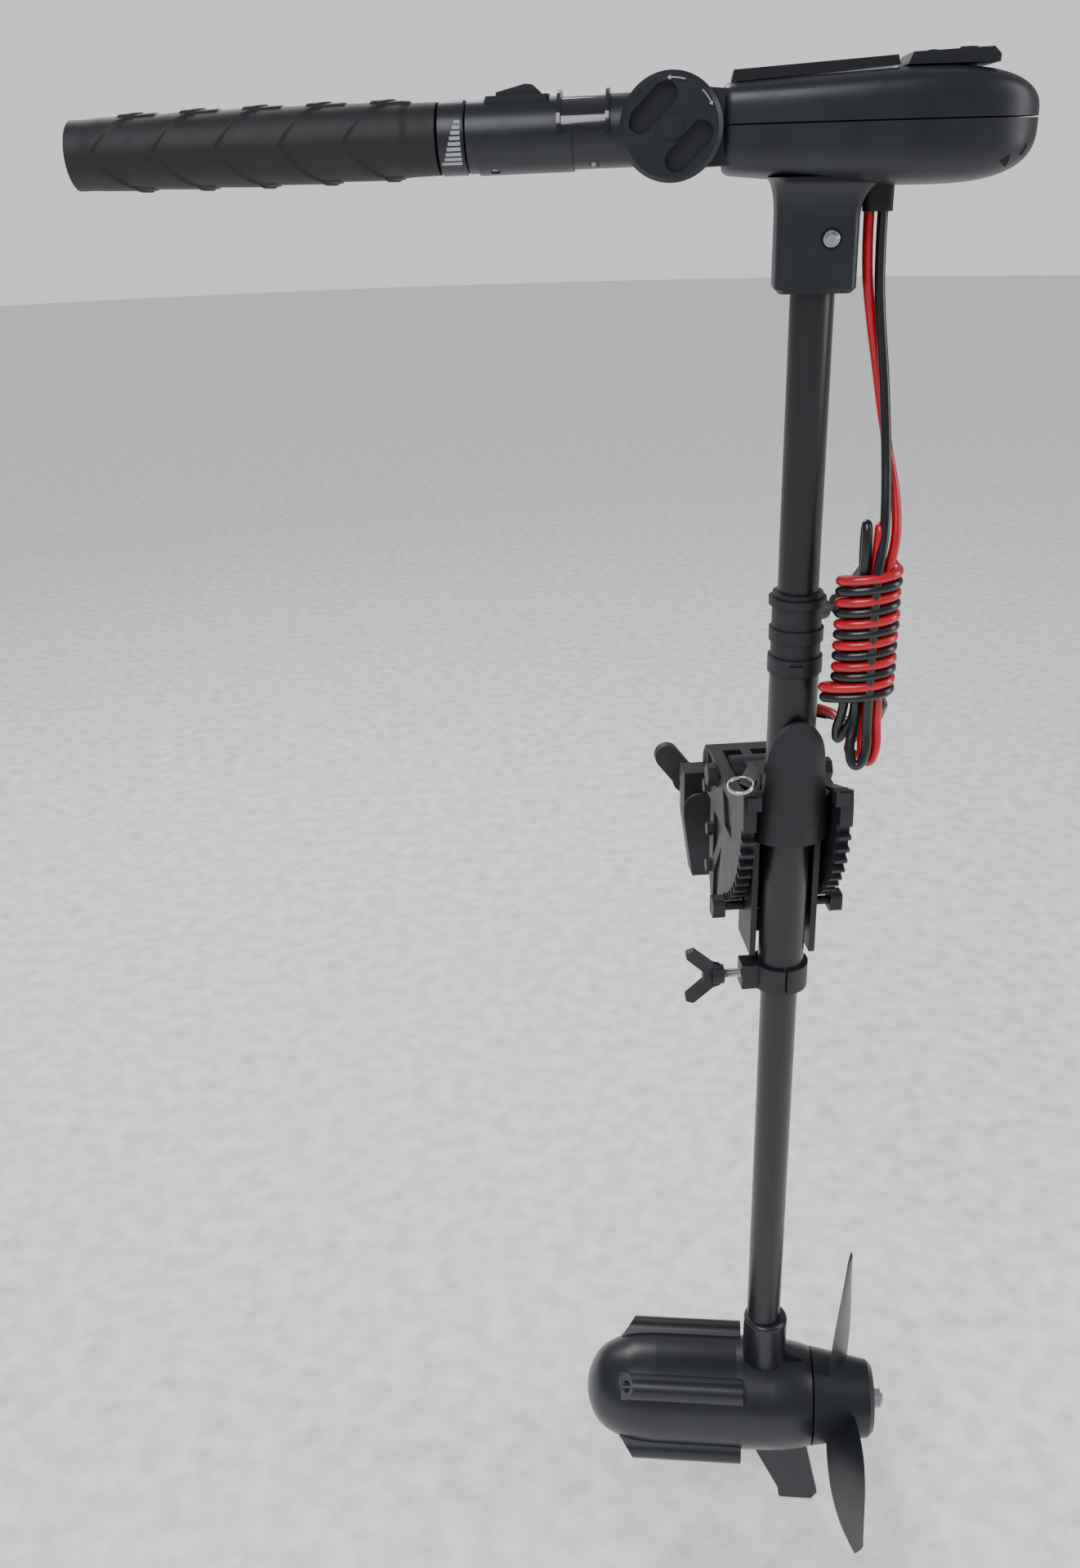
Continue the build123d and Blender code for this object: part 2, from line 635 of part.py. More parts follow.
def head_block(inset):
    """The head's outside shape, or the same shape drawn in by a wall's thickness."""
    with BuildPart() as block:
        with BuildSketch(side(steer, HEAD_HALF - inset)) as profile:
            with BuildLine():
                Polyline(
                    (HEAD_FRONT + inset, HEAD_BOTTOM + 8 + inset),
                    (HEAD_FRONT + inset, HEAD_TOP - 6 - inset),
                    (HEAD_FRONT + 8, HEAD_TOP - inset),
                    (POD_FRONT, HEAD_TOP + 6 - inset),
                    (POD_REAR, HEAD_TOP + 6 - inset),
                    (HEAD_REAR - 12, HEAD_TOP - 8 - inset),
                    (HEAD_REAR - inset, HEAD_PARTING),
                    (HEAD_REAR - 4 - inset, HEAD_BOTTOM + 8 + inset),
                    (HEAD_REAR - 18, HEAD_BOTTOM + inset),
                    (HEAD_FRONT + 14, HEAD_BOTTOM + inset),
                    close=True,
                )
            make_face()
        extrude(amount=2 * (HEAD_HALF - inset))
        with BuildSketch(level(steer, HEAD_BOTTOM - 5)) as plan:
            with BuildLine():
                half = HEAD_HALF - inset
                ThreePointArc((HEAD_FRONT + inset, -half * 0.8), (20, -half),
                              (HEAD_REAR - 20, -half * 0.78))
                ThreePointArc((HEAD_REAR - 20, -half * 0.78), (HEAD_REAR - inset, 0),
                              (HEAD_REAR - 20, half * 0.78))
                ThreePointArc((HEAD_REAR - 20, half * 0.78), (20, half),
                              (HEAD_FRONT + inset, half * 0.8))
                Line((HEAD_FRONT + inset, half * 0.8), (HEAD_FRONT + inset, -half * 0.8))
            make_face()
        extrude(amount=HEAD_TOP - HEAD_BOTTOM + 40, mode=Mode.INTERSECT)
    return block.part


EAR_R = 25.0
EAR_IN = 27.0
EAR_OUT = 34.0
with BuildPart() as head_lower_shell:
    add(head_block(0))
    add(head_block(SHELL_WALL), mode=Mode.SUBTRACT)
    with BuildSketch(level(steer, HEAD_PARTING)):
        Rectangle(400, 200)
    extrude(amount=60, mode=Mode.SUBTRACT)
    with BuildSketch(side(steer, SOCKET_HALF - 2)) as socket_profile:
        with BuildLine():
            Polyline((-SOCKET_HALF, SOCKET_BOTTOM + 3), (-SOCKET_HALF, HEAD_BOTTOM - 4),
                     (-SOCKET_HALF - 5, HEAD_BOTTOM + 2), (SOCKET_HALF + 24, HEAD_BOTTOM + 2))
            TangentArc((SOCKET_HALF + 24, HEAD_BOTTOM), (SOCKET_HALF, HEAD_BOTTOM - 22),
                       tangent=(-1, 0))
            Polyline((SOCKET_HALF + 24, HEAD_BOTTOM + 2), (SOCKET_HALF + 24, HEAD_BOTTOM))
            Polyline((SOCKET_HALF, HEAD_BOTTOM - 22), (SOCKET_HALF, SOCKET_BOTTOM + 3),
                     (SOCKET_HALF - 3, SOCKET_BOTTOM), (-SOCKET_HALF + 3, SOCKET_BOTTOM),
                     (-SOCKET_HALF, SOCKET_BOTTOM + 3))
        make_face()
    extrude(amount=2 * SOCKET_HALF - 4)
    for y in (-EAR_OUT, EAR_IN):
        with BuildSketch(side(steer, y + EAR_OUT - EAR_IN)) as ears:
            with BuildLine():
                Polyline((HEAD_FRONT + 2, TILLER_Z - 22), (HEAD_FRONT + 2, TILLER_Z + 20),
                         (TILLER_PIVOT_X, TILLER_Z + 20), (TILLER_PIVOT_X, TILLER_Z - 22),
                         close=True)
            make_face()
            with Locations((TILLER_PIVOT_X, TILLER_Z)):
                Circle(EAR_R - 2)
        extrude(amount=EAR_OUT - EAR_IN)
    with BuildSketch(side(steer, 60, TILLER_PIVOT_X, TILLER_Z)):
        Circle(4.02)
    extrude(amount=120, mode=Mode.SUBTRACT)
    with BuildSketch(level(steer, SOCKET_BOTTOM - 1)):
        Circle(SHAFT_R + 0.02)
    extrude(amount=SHAFT_TOP - SOCKET_BOTTOM + 1, mode=Mode.SUBTRACT)
    with BuildSketch(level(steer, SHAFT_TOP - 1)):
        Circle(SHAFT_BORE_R - 1)
    extrude(amount=40, mode=Mode.SUBTRACT)
    with BuildSketch(side(steer, -SOCKET_HALF + 2 + 5, 8, 419)):
        Circle(6.4)
    extrude(amount=6, mode=Mode.SUBTRACT)
    with BuildSketch(side(steer, -SHAFT_R, 8, 419)):
        Circle(3.02)
    extrude(amount=12, mode=Mode.SUBTRACT)
    with BuildSketch(level(steer, HEAD_BOTTOM - 1, GLAND_X)):
        Circle(6.52)
    extrude(amount=6, mode=Mode.SUBTRACT)
    with BuildSketch(level(steer, HEAD_BOTTOM - 15, GLAND_X)):
        Rectangle(18.04, 14.04)
    extrude(amount=15, mode=Mode.SUBTRACT)
    with BuildSketch(level(steer, HEAD_BOTTOM - 1)) as screw_wells:
        with Locations((92, -20), (92, 20), (-40, -22), (-40, 22)):
            Circle(3.6)
    extrude(amount=3.2, mode=Mode.SUBTRACT)
save(head_lower_shell, "head_lower_shell")

with BuildPart() as head_upper_shell:
    add(head_block(0))
    add(head_block(SHELL_WALL), mode=Mode.SUBTRACT)
    with BuildSketch(level(steer, HEAD_PARTING)):
        Rectangle(400, 200)
    extrude(amount=-60, mode=Mode.SUBTRACT)
    for y in (-EAR_OUT, EAR_IN):
        with BuildSketch(side(steer, y + EAR_OUT - EAR_IN + 0.5, TILLER_PIVOT_X, TILLER_Z)):
            Circle(EAR_R - 1.5)
        extrude(amount=EAR_OUT - EAR_IN + 1, mode=Mode.SUBTRACT)
        with BuildSketch(side(steer, y + EAR_OUT - EAR_IN + 0.3)):
            with Locations(((TILLER_PIVOT_X + HEAD_FRONT + 2) / 2, TILLER_Z)):
                Rectangle(HEAD_FRONT + 2.6 - TILLER_PIVOT_X, 46)
        extrude(amount=EAR_OUT - EAR_IN + 0.6, mode=Mode.SUBTRACT)
    with BuildSketch(level(steer, HEAD_TOP)) as button_well:
        with Locations((84, 0)):
            Circle(5.5)
    extrude(amount=30, both=True, mode=Mode.SUBTRACT)
    with BuildSketch(level(steer, HEAD_TOP)) as lens_well:
        with Locations((62, 0)):
            SlotOverall(26, 5, rotation=90)
    extrude(amount=30, both=True, mode=Mode.SUBTRACT)
save(head_upper_shell, "head_upper_shell")

with BuildPart() as top_flap:
    with BuildSketch(side(steer, 22)) as flap_profile:
        with BuildLine():
            Polyline((-55, HEAD_TOP - 2.2), (-53, HEAD_TOP + 6.5), (41, HEAD_TOP + 11.5),
                     (42.5, HEAD_TOP + 6.2), (-51, HEAD_TOP + 0.2), close=True)
        make_face()
    extrude(amount=44)
    with BuildSketch(level(steer, HEAD_TOP + 12)) as groove:
        with Locations((-6, 0)):
            Rectangle(84, 8)
    extrude(amount=-6.2, mode=Mode.SUBTRACT)
    with BuildSketch(side(steer, 23)) as under:
        with BuildLine():
            Polyline((HEAD_FRONT, HEAD_TOP - 5.95), (HEAD_FRONT + 8, HEAD_TOP + 0.05),
                     (POD_FRONT, HEAD_TOP + 6.05), (POD_FRONT, HEAD_TOP - 10),
                     (HEAD_FRONT, HEAD_TOP - 10), close=True)
        make_face()
    extrude(amount=46, mode=Mode.SUBTRACT)
save(top_flap, "top_flap")

with BuildPart() as console_pod:
    with BuildSketch(side(steer, 26)) as pod_profile:
        with BuildLine():
            Polyline((POD_FRONT, HEAD_TOP + 6.02), (POD_FRONT + 3, HEAD_TOP + 12.5),
                     (POD_REAR - 4, HEAD_TOP + 14), (POD_REAR, HEAD_TOP + 10),
                     (POD_REAR, HEAD_TOP + 6.02), close=True)
        make_face()
    extrude(amount=52)
    with BuildSketch(level(steer, HEAD_TOP)) as openings:
        with Locations((84, 0)):
            Circle(5.5)
        with Locations((62, 0)):
            SlotOverall(26, 5, rotation=90)
    extrude(amount=30, mode=Mode.SUBTRACT)
save(console_pod, "console_pod")

with BuildPart() as indicator_lens:
    with BuildSketch(level(steer, HEAD_TOP - 1)):
        with Locations((62, 0)):
            SlotOverall(25.8, 4.8, rotation=90)
    extrude(amount=15)
save(indicator_lens, "indicator_lens")

with BuildPart() as test_button:
    with BuildSketch(level(steer, HEAD_TOP - 2)):
        with Locations((84, 0)):
            Circle(5.2)
    extrude(amount=17.5)
    with BuildSketch(level(steer, HEAD_TOP - 4)):
        with Locations((84, 0)):
            Circle(7)
    extrude(amount=2.5)
save(test_button, "test_button")

with BuildPart() as circuit_board:
    with BuildSketch(level(steer, HEAD_PARTING)):
        with Locations((46, 0)):
            Rectangle(86, 54)
    extrude(amount=1.6)
    with BuildSketch(level(steer, HEAD_PARTING + 1.6)):
        with Locations((20, 10)):
            Rectangle(18, 12)
        with Locations((30, -14)):
            Circle(5)
        with Locations((62, 0)):
            Rectangle(6, 24)
        with Locations((84, 0)):
            Rectangle(8, 8)
    extrude(amount=7)
save_group([circuit_board.part, inner_leads.part], "board_and_inner_leads")

with BuildPart() as socket_screw:
    with BuildSketch(side(steer, -SHAFT_R, 8, 419)):
        Circle(3)
    extrude(amount=5)
    with BuildSketch(side(steer, -SHAFT_R - 4.1, 8, 419)):
        Circle(5.25)
        RegularPolygon(2.9, 6, mode=Mode.SUBTRACT)
    extrude(amount=6)

with BuildPart() as shell_screws:
    with BuildSketch(level(steer, HEAD_BOTTOM + 0.3)):
        with Locations((92, -20), (92, 20), (-40, -22), (-40, 22)):
            Circle(3.2)
    extrude(amount=1.7)
save_group([socket_screw.part, shell_screws.part], "head_screws")

with BuildPart() as lead_gland:
    with BuildSketch(level(steer, HEAD_BOTTOM - 15, GLAND_X)):
        RectangleRounded(18, 14, 4)
    extrude(amount=15)
    with BuildSketch(level(steer, HEAD_BOTTOM - 0.5, GLAND_X)):
        Circle(6.5)
    extrude(amount=5)
save(lead_gland, "lead_gland")

# ---- tilt dial and its bolt -----------------------------------------------------------
dial_plane = side(steer, -EAR_OUT - GAP, TILLER_PIVOT_X, TILLER_Z)
with BuildPart() as tilt_dial:
    with BuildSketch(dial_plane):
        Circle(DIAL_R)
    extrude(amount=11)
    chamfer(tilt_dial.faces().sort_by(Axis(dial_plane.origin, dial_plane.z_dir))[-1].edges(), 2.5)
    with BuildSketch(dial_plane.offset(11)) as pockets:
        with PolarLocations(0, 2, start_angle=45):
            with Locations((0, 15)):
                SlotOverall(34, 14)
        Circle(24.5, mode=Mode.INTERSECT)
    extrude(amount=-6, mode=Mode.SUBTRACT)
    with BuildSketch(dial_plane.offset(10.5)):
        Circle(7)
    extrude(amount=1.5)
    with BuildSketch(dial_plane):
        Circle(4.02)
    extrude(amount=8, mode=Mode.SUBTRACT)
save(tilt_dial, "tilt_dial")

with BuildPart() as dial_bolt:
    with BuildSketch(side(steer, EAR_OUT, TILLER_PIVOT_X, TILLER_Z)):
        Circle(3.98)
    extrude(amount=2 * EAR_OUT + GAP + 7)
    with BuildSketch(side(steer, EAR_OUT, TILLER_PIVOT_X, TILLER_Z)):
        RegularPolygon(7.5, 6)
    extrude(amount=-5)
save(dial_bolt, "dial_bolt")

# ---- tiller: two shells on a knuckle between the head's ears --------------------------
TILLER_KNUCKLE_R = 24.0
TILLER_KNUCKLE_HALF = 26.4
TUBE_R = 14.0
TUBE_IN = -36.0
SPOOL_START = -37.0
SPOOL_FINISH = -68.5


def round_bar(start, finish, radius, hole=0.0, mode=Mode.ADD):
    """A round bar or tube along the tiller."""
    with BuildSketch(end(tiller, finish)) as section:
        Circle(radius)
        if hole:
            Circle(hole, mode=Mode.SUBTRACT)
    extrude(section.sketch, amount=start - finish, mode=mode)


def tiller_shell(upper):
    with BuildPart() as shell:
        round_bar(-18, TILLER_END, TILLER_R)
        with BuildSketch(side(tiller, TILLER_KNUCKLE_HALF)):
            Circle(TILLER_KNUCKLE_R)
        extrude(amount=2 * TILLER_KNUCKLE_HALF)
        with BuildSketch(level(tiller, -30)) as shoulders:
            with BuildLine():
                half = TILLER_KNUCKLE_HALF
                Polyline((TILLER_KNUCKLE_R, half), (-16, half), (-34, TILLER_R),
                         (TILLER_END, TILLER_R), (TILLER_END, -TILLER_R), (-34, -TILLER_R),
                         (-16, -half), (TILLER_KNUCKLE_R, -half), close=True)
            make_face()
        extrude(amount=60, mode=Mode.INTERSECT)
        if upper:
            with BuildSketch(side(tiller, 9)) as button_bed:
                with BuildLine():
                    Polyline((-76, TILLER_R - 4), (-74, TILLER_R + 1.5), (-112, TILLER_R + 1.5),
                             (-114, TILLER_R - 4), close=True)
                make_face()
            extrude(amount=18)
        if not upper:
            with BuildSketch(end(tiller, -60)) as step:
                Circle(TILLER_R + 1.2)
            extrude(amount=TILLER_END + 66, mode=Mode.ADD)
        with BuildSketch(end(tiller, TILLER_END - 1)):
            Circle(TUBE_R + FIT)
        extrude(amount=TUBE_IN - TILLER_END, mode=Mode.SUBTRACT)
        with BuildSketch(side(tiller, 40)):
            Circle(4.08)
        extrude(amount=80, mode=Mode.SUBTRACT)
        with BuildSketch(level(tiller)):
            Rectangle(400, 200)
        extrude(amount=-60 if upper else 60, mode=Mode.SUBTRACT)
        if upper:
            with BuildSketch(level(tiller, 0, -93)):
                Rectangle(29, 11)
            extrude(amount=60, mode=Mode.SUBTRACT)
            round_bar(SPOOL_START, SPOOL_FINISH, TILLER_R + 8, TILLER_R - 2.5, Mode.SUBTRACT)
        else:
            for x in (-47, -108):
                with BuildSketch(level(tiller, -TILLER_R - 2, x, -9)):
                    Circle(3)
                extrude(amount=7, mode=Mode.SUBTRACT)
    return shell


tiller_upper_shell = tiller_shell(True)
save(tiller_upper_shell, "tiller_upper_shell")
tiller_lower_shell = tiller_shell(False)
save(tiller_lower_shell, "tiller_lower_shell")

with BuildPart() as tiller_spool:
    with BuildSketch(end(tiller, SPOOL_FINISH)):
        Circle(TILLER_R - 0.6)
        Circle(TILLER_R - 2.48, mode=Mode.SUBTRACT)
    extrude(amount=SPOOL_START - SPOOL_FINISH)
    for x in (SPOOL_FINISH, SPOOL_START - 2.2):
        with BuildSketch(end(tiller, x)):
            Circle(TILLER_R + 3.2)
            Circle(TILLER_R - 2.48, mode=Mode.SUBTRACT)
        extrude(amount=2.2)
    with BuildSketch(level(tiller, 0.05)):
        Rectangle(400, 200)
    extrude(amount=-60, mode=Mode.SUBTRACT)
save(tiller_spool, "tiller_spool")

with BuildPart() as tiller_screws:
    for x in (-47, -108):
        with BuildSketch(level(tiller, -TILLER_R + 1.2, x, -9)):
            Circle(2.8)
        extrude(amount=3.6)
save(tiller_screws, "tiller_screws")

with BuildPart() as release_button:
    with BuildSketch(side(tiller, 5.2)) as wedge:
        with BuildLine():
            Polyline((-79, 17), (-79, TILLER_R + 2.5), (-84, TILLER_R + 7), (-88, TILLER_R + 7.5),
                     (-106, TILLER_R + 3.5), (-107, 17), close=True)
        make_face()
    extrude(amount=10.4)
save(release_button, "release_button")

with BuildPart() as button_spring:
    with BuildSketch(level(tiller, TUBE_R + 0.3, -93)):
        Circle(3)
        Circle(2.2, mode=Mode.SUBTRACT)
    extrude(amount=17 - TUBE_R - 0.6)
save(button_spring, "button_spring")

# ---- telescoping tube, speed ring and twist grip --------------------------------------
with BuildPart() as extension_tube:
    round_bar(TUBE_IN - 2, GRIP_END + 12, TUBE_R, TUBE_R - 2)
save(extension_tube, "extension_tube")

with BuildPart() as speed_sensor:
    round_bar(-150, -172, TUBE_R - 2.05)
    with BuildSketch(end(tiller, -151)):
        Circle(3)
    extrude(amount=12)
save(speed_sensor, "speed_sensor")

with BuildPart() as grip_core:
    round_bar(TILLER_END - 1.0, RING_END, TILLER_R + 0.6, TUBE_R + FIT)
    chamfer(grip_core.edges().filter_by(GeomType.CIRCLE).group_by(
        Axis(tiller.origin, tiller.x_dir))[-1].sort_by(SortBy.LENGTH)[-1], 1.2)
    round_bar(RING_END, GRIP_END + 4, TUBE_R + 3, TUBE_R + FIT)
save(grip_core, "grip_core")

CHEVRONS = 5
CHEVRON_PITCH = 40.0
with BuildPart() as rubber_grip:
    round_bar(RING_END - 0.4, GRIP_END, GRIP_R, TUBE_R + 3.02)
    with BuildSketch(end(tiller, GRIP_END)):
        Circle(GRIP_R)
    extrude(amount=3.9)
    fillet(rubber_grip.edges().filter_by(GeomType.CIRCLE).group_by(
        Axis(tiller.origin, tiller.x_dir))[0], 4)
    for step in range(CHEVRONS):
        centre = RING_END - 30 - step * CHEVRON_PITCH
        with BuildSketch(level(tiller, GRIP_R - 0.8, centre)):
            Rectangle(22, 14)
        extrude(amount=2.0)
        with BuildSketch(level(tiller, -GRIP_R - 1.2, centre)):
            Rectangle(7, 16)
        extrude(amount=2.0)
save(rubber_grip, "rubber_grip")

# ---- motor: nose cone, centre tube and tail housing -----------------------------------
motor_axis = Axis(motor.origin, motor.x_dir)
bolt_angles = (45, 135, 225, 315)
BULGE_R = 59.0
BULGE_HALF = 11.0


def motor_bulges(start, finish, nose=False):
    """Four lengthwise bulges that carry the through bolts."""
    for angle in bolt_angles:
        radial = Plane(motor.origin, x_dir=motor.x_dir,
                       z_dir=turned(motor, (0, -sin(radians(angle)), cos(radians(angle)))))
        with BuildSketch(Plane(motor.from_local_coords(Vector(start, 0, 0)),
                               x_dir=radial.y_dir, z_dir=motor.x_dir)) as section:
            with Locations((0, BULGE_R - BULGE_HALF)):
                Circle(BULGE_HALF)
            with Locations((0, BULGE_R - 2 * BULGE_HALF)):
                Rectangle(2 * BULGE_HALF, 2 * BULGE_HALF)
        extrude(section.sketch, amount=finish - start)


def bolt_places(radius):
    return [(radius * cos(radians(a)), radius * sin(radians(a))) for a in bolt_angles]


BOLT_RADIUS = 50.5
with BuildPart() as nose_cone:
    with BuildSketch(side(motor)) as nose_profile:
        with BuildLine():
            Spline((NOSE_TIP, 0), (NOSE_TIP + 5, 21), (-139, 33), (-122, 42), (NOSE_SEAM, MOTOR_R),
                   tangents=[(0, 1), (1, 0.05)])
            Polyline((NOSE_SEAM, MOTOR_R), (NOSE_SEAM, 0), (NOSE_TIP, 0))
        make_face()
    revolve(axis=motor_axis)
    motor_bulges(-123, NOSE_SEAM)
    with BuildSketch(side(motor)) as bulge_slant:
        with BuildLine():
            Polyline((-130, 43.5), (-122, 43.5), (-109, 62), (-130, 62), close=True)
        make_face()
    revolve(axis=motor_axis, mode=Mode.SUBTRACT)
    with BuildSketch(end(motor, -125)) as bolt_wells:
        with Locations(*bolt_places(BOLT_RADIUS)):
            Circle(5)
    extrude(amount=18, mode=Mode.SUBTRACT)
    with BuildSketch(end(motor, -113)):
        with Locations(*bolt_places(BOLT_RADIUS)):
            Circle(2.7)
    extrude(amount=30, mode=Mode.SUBTRACT)
    with BuildSketch(side(motor)) as nose_cavity:
        with BuildLine():
            Spline((-146, 0), (-138, 15), (-124, 27), (-106, 38), (NOSE_SEAM, 42),
                   tangents=[(0, 1), (1, 0.05)])
            Polyline((NOSE_SEAM, 42), (NOSE_SEAM, 0), (-146, 0))
        make_face()
    revolve(axis=motor_axis, mode=Mode.SUBTRACT)
    with BuildSketch(end(motor, -124)):
        Circle(14)
        Circle(11.02, mode=Mode.SUBTRACT)
    extrude(amount=14)
    with BuildSketch(end(motor, -140)):
        Circle(14)
    extrude(amount=16)
save(nose_cone, "nose_cone")

with BuildPart() as centre_tube:
    with BuildSketch(end(motor, NOSE_SEAM)):
        Circle(MOTOR_R)
    extrude(amount=TUBE_SEAM - NOSE_SEAM)
    motor_bulges(NOSE_SEAM, TUBE_SEAM)
    with BuildSketch(end(motor, NOSE_SEAM)):
        Circle(42)
        with Locations(*bolt_places(BOLT_RADIUS)):
            Circle(2.7)
    extrude(amount=TUBE_SEAM - NOSE_SEAM, mode=Mode.SUBTRACT)
save(centre_tube, "centre_tube")

NECK_R = 18.5
SKEG_THICK = 6.0
with BuildPart() as tail_housing:
    with BuildSketch(side(motor)) as tail_profile:
        with BuildLine():
            Polyline((TUBE_SEAM, 0), (TUBE_SEAM, MOTOR_R), (-16, MOTOR_R + 0.6), (6, MOTOR_R))
            Spline((6, MOTOR_R), (26, 45), (TAIL_END, 41), tangents=[(1, 0), (1, -0.35)])
            Polyline((TAIL_END, 41), (TAIL_END, 0), (TUBE_SEAM, 0))
        make_face()
    revolve(axis=motor_axis)
    motor_bulges(TUBE_SEAM, -17)
    with BuildSketch(level(steer, MOTOR_Z + 30, 2)):
        Circle(NECK_R)
    extrude(amount=NECK_TOP - MOTOR_Z - 30)
    fillet(tail_housing.edges().filter_by(GeomType.CIRCLE).group_by(Axis.Z)[-1], 4)
    with BuildSketch(side(motor, 4)) as gusset:
        with BuildLine():
            Polyline((12, 60), (36, 44), (36, 30), (12, 30), close=True)
        make_face()
    extrude(amount=8)
    with BuildSketch(side(motor, SKEG_THICK / 2)) as skeg:
        with BuildLine():
            Polyline((-13, -38), (-11, -47), (20, -112), (21.5, -124), (51, -124), (56, -116),
                     (41, -47), (39, -38), close=True)
        make_face()
        fillet(skeg.vertices().sort_by(Axis.Y)[:3], 3)
    extrude(amount=SKEG_THICK)
    with BuildSketch(end(motor, TUBE_SEAM)):
        Circle(41.6)
    extrude(amount=26, mode=Mode.SUBTRACT)
    with BuildSketch(end(motor, TUBE_SEAM)):
        Circle(11.02)
    extrude(amount=46, mode=Mode.SUBTRACT)
    with BuildSketch(end(motor, 24)):
        Circle(14.02)
    extrude(amount=TAIL_END - 23, mode=Mode.SUBTRACT)
    with BuildSketch(end(motor, TUBE_SEAM)):
        with Locations(*bolt_places(BOLT_RADIUS)):
            Circle(2.4)
    extrude(amount=4, mode=Mode.SUBTRACT)
    with BuildSketch(level(steer, MOTOR_Z + 30)):
        Circle(SHAFT_BORE_R)
    extrude(amount=30, mode=Mode.SUBTRACT)
    with BuildSketch(level(steer, SHAFT_BOTTOM)):
        Circle(SHAFT_R + 0.02)
    extrude(amount=60, mode=Mode.SUBTRACT)
save(tail_housing, "tail_housing")

# ---- motor internals ------------------------------------------------------------------
with BuildPart() as through_bolts:
    for y, z in bolt_places(BOLT_RADIUS):
        with BuildSketch(end(motor, -107, y, z)):
            Circle(4.6)
            RegularPolygon(2.4, 6, mode=Mode.SUBTRACT)
        extrude(amount=-5)
        with BuildSketch(end(motor, -107, y, z)):
            Circle(4.6)
        extrude(amount=-1)
        with BuildSketch(end(motor, -107, y, z)):
            Circle(2.38)
        extrude(amount=TUBE_SEAM + 110.6)
save(through_bolts, "through_bolts")

MAGNET_IN = 35.0
with BuildPart() as field_magnets:
    with BuildSketch(end(motor, NOSE_SEAM + 6)):
        Circle(41.95)
        Circle(MAGNET_IN, mode=Mode.SUBTRACT)
        with Locations((0, 45), (0, -45)):
            Rectangle(34, 60, mode=Mode.SUBTRACT)
    extrude(amount=TUBE_SEAM - NOSE_SEAM - 12)
save(field_magnets, "field_magnets")

AXLE_R = 5.0
with BuildPart() as bearings:
    for x, length in ((-123, 9), (5, 9)):
        with BuildSketch(end(motor, x)):
            Circle(11)
            Circle(AXLE_R + 0.03, mode=Mode.SUBTRACT)
        extrude(amount=length)
save(bearings, "bearings")

with BuildPart() as shaft_seal:
    with BuildSketch(end(motor, 25)):
        Circle(14)
        Circle(AXLE_R + 0.05, mode=Mode.SUBTRACT)
    extrude(amount=8)

with BuildPart() as seam_rings:
    for x in (NOSE_SEAM + 0.4, TUBE_SEAM - 3.4):
        with BuildSketch(end(motor, x)):
            Circle(41.95)
            Circle(39.5, mode=Mode.SUBTRACT)
        extrude(amount=3)
save_group([shaft_seal.part, seam_rings.part], "motor_seals")

with BuildPart() as brush_plate:
    with BuildSketch(end(motor, -106)):
        Circle(36)
        Circle(20, mode=Mode.SUBTRACT)
    extrude(amount=3)
    for y in (-26, 26):
        with BuildSketch(end(motor, -103, y)):
            Rectangle(17, 12)
            Rectangle(18, 8, mode=Mode.SUBTRACT)
        extrude(amount=9)

with BuildPart() as brushes:
    for way in (-1, 1):
        with BuildSketch(end(motor, -102.5, way * 23.5)):
            Rectangle(17, 7.6)
        extrude(amount=8)
save_group([brush_plate.part, brushes.part], "brush_gear")

POLES = 12
ROTOR_R = 33.5
with BuildPart() as armature:
    with BuildSketch(end(motor, -122.5)):
        Circle(AXLE_R)
    extrude(amount=PROP_END + 10 + 122.5)
    with BuildSketch(end(motor, -104)):
        Circle(14.7)
    extrude(amount=12)
    with BuildSketch(end(motor, -82)):
        Circle(ROTOR_R)
        with PolarLocations(ROTOR_R - 2, POLES):
            Rectangle(8, 3, mode=Mode.SUBTRACT)
    extrude(amount=48)
    for x in (-90, -34):
        with BuildSketch(end(motor, x)):
            Circle(25)
            Circle(9, mode=Mode.SUBTRACT)
        extrude(amount=8)
    with BuildSketch(side(motor, 10, 54)):
        Circle(2.02)
    extrude(amount=20, mode=Mode.SUBTRACT)
save(armature, "armature")

with BuildPart() as drive_pin:
    with BuildSketch(side(motor, 14, 54)):
        Circle(2)
    extrude(amount=28)

# ---- propeller ------------------------------------------------------------------------
HUB_FRONT_R = 41.0
HUB_END_R = 32.0
BLADES = 3


def blade_chord(radius):
    """A blade's half width at a radius: broad near two thirds, rounded at the tip."""
    share = (radius - 30) / (PROP_R - 30)
    return 25 + 9 * sin(pi * share) - 14 * share ** 3


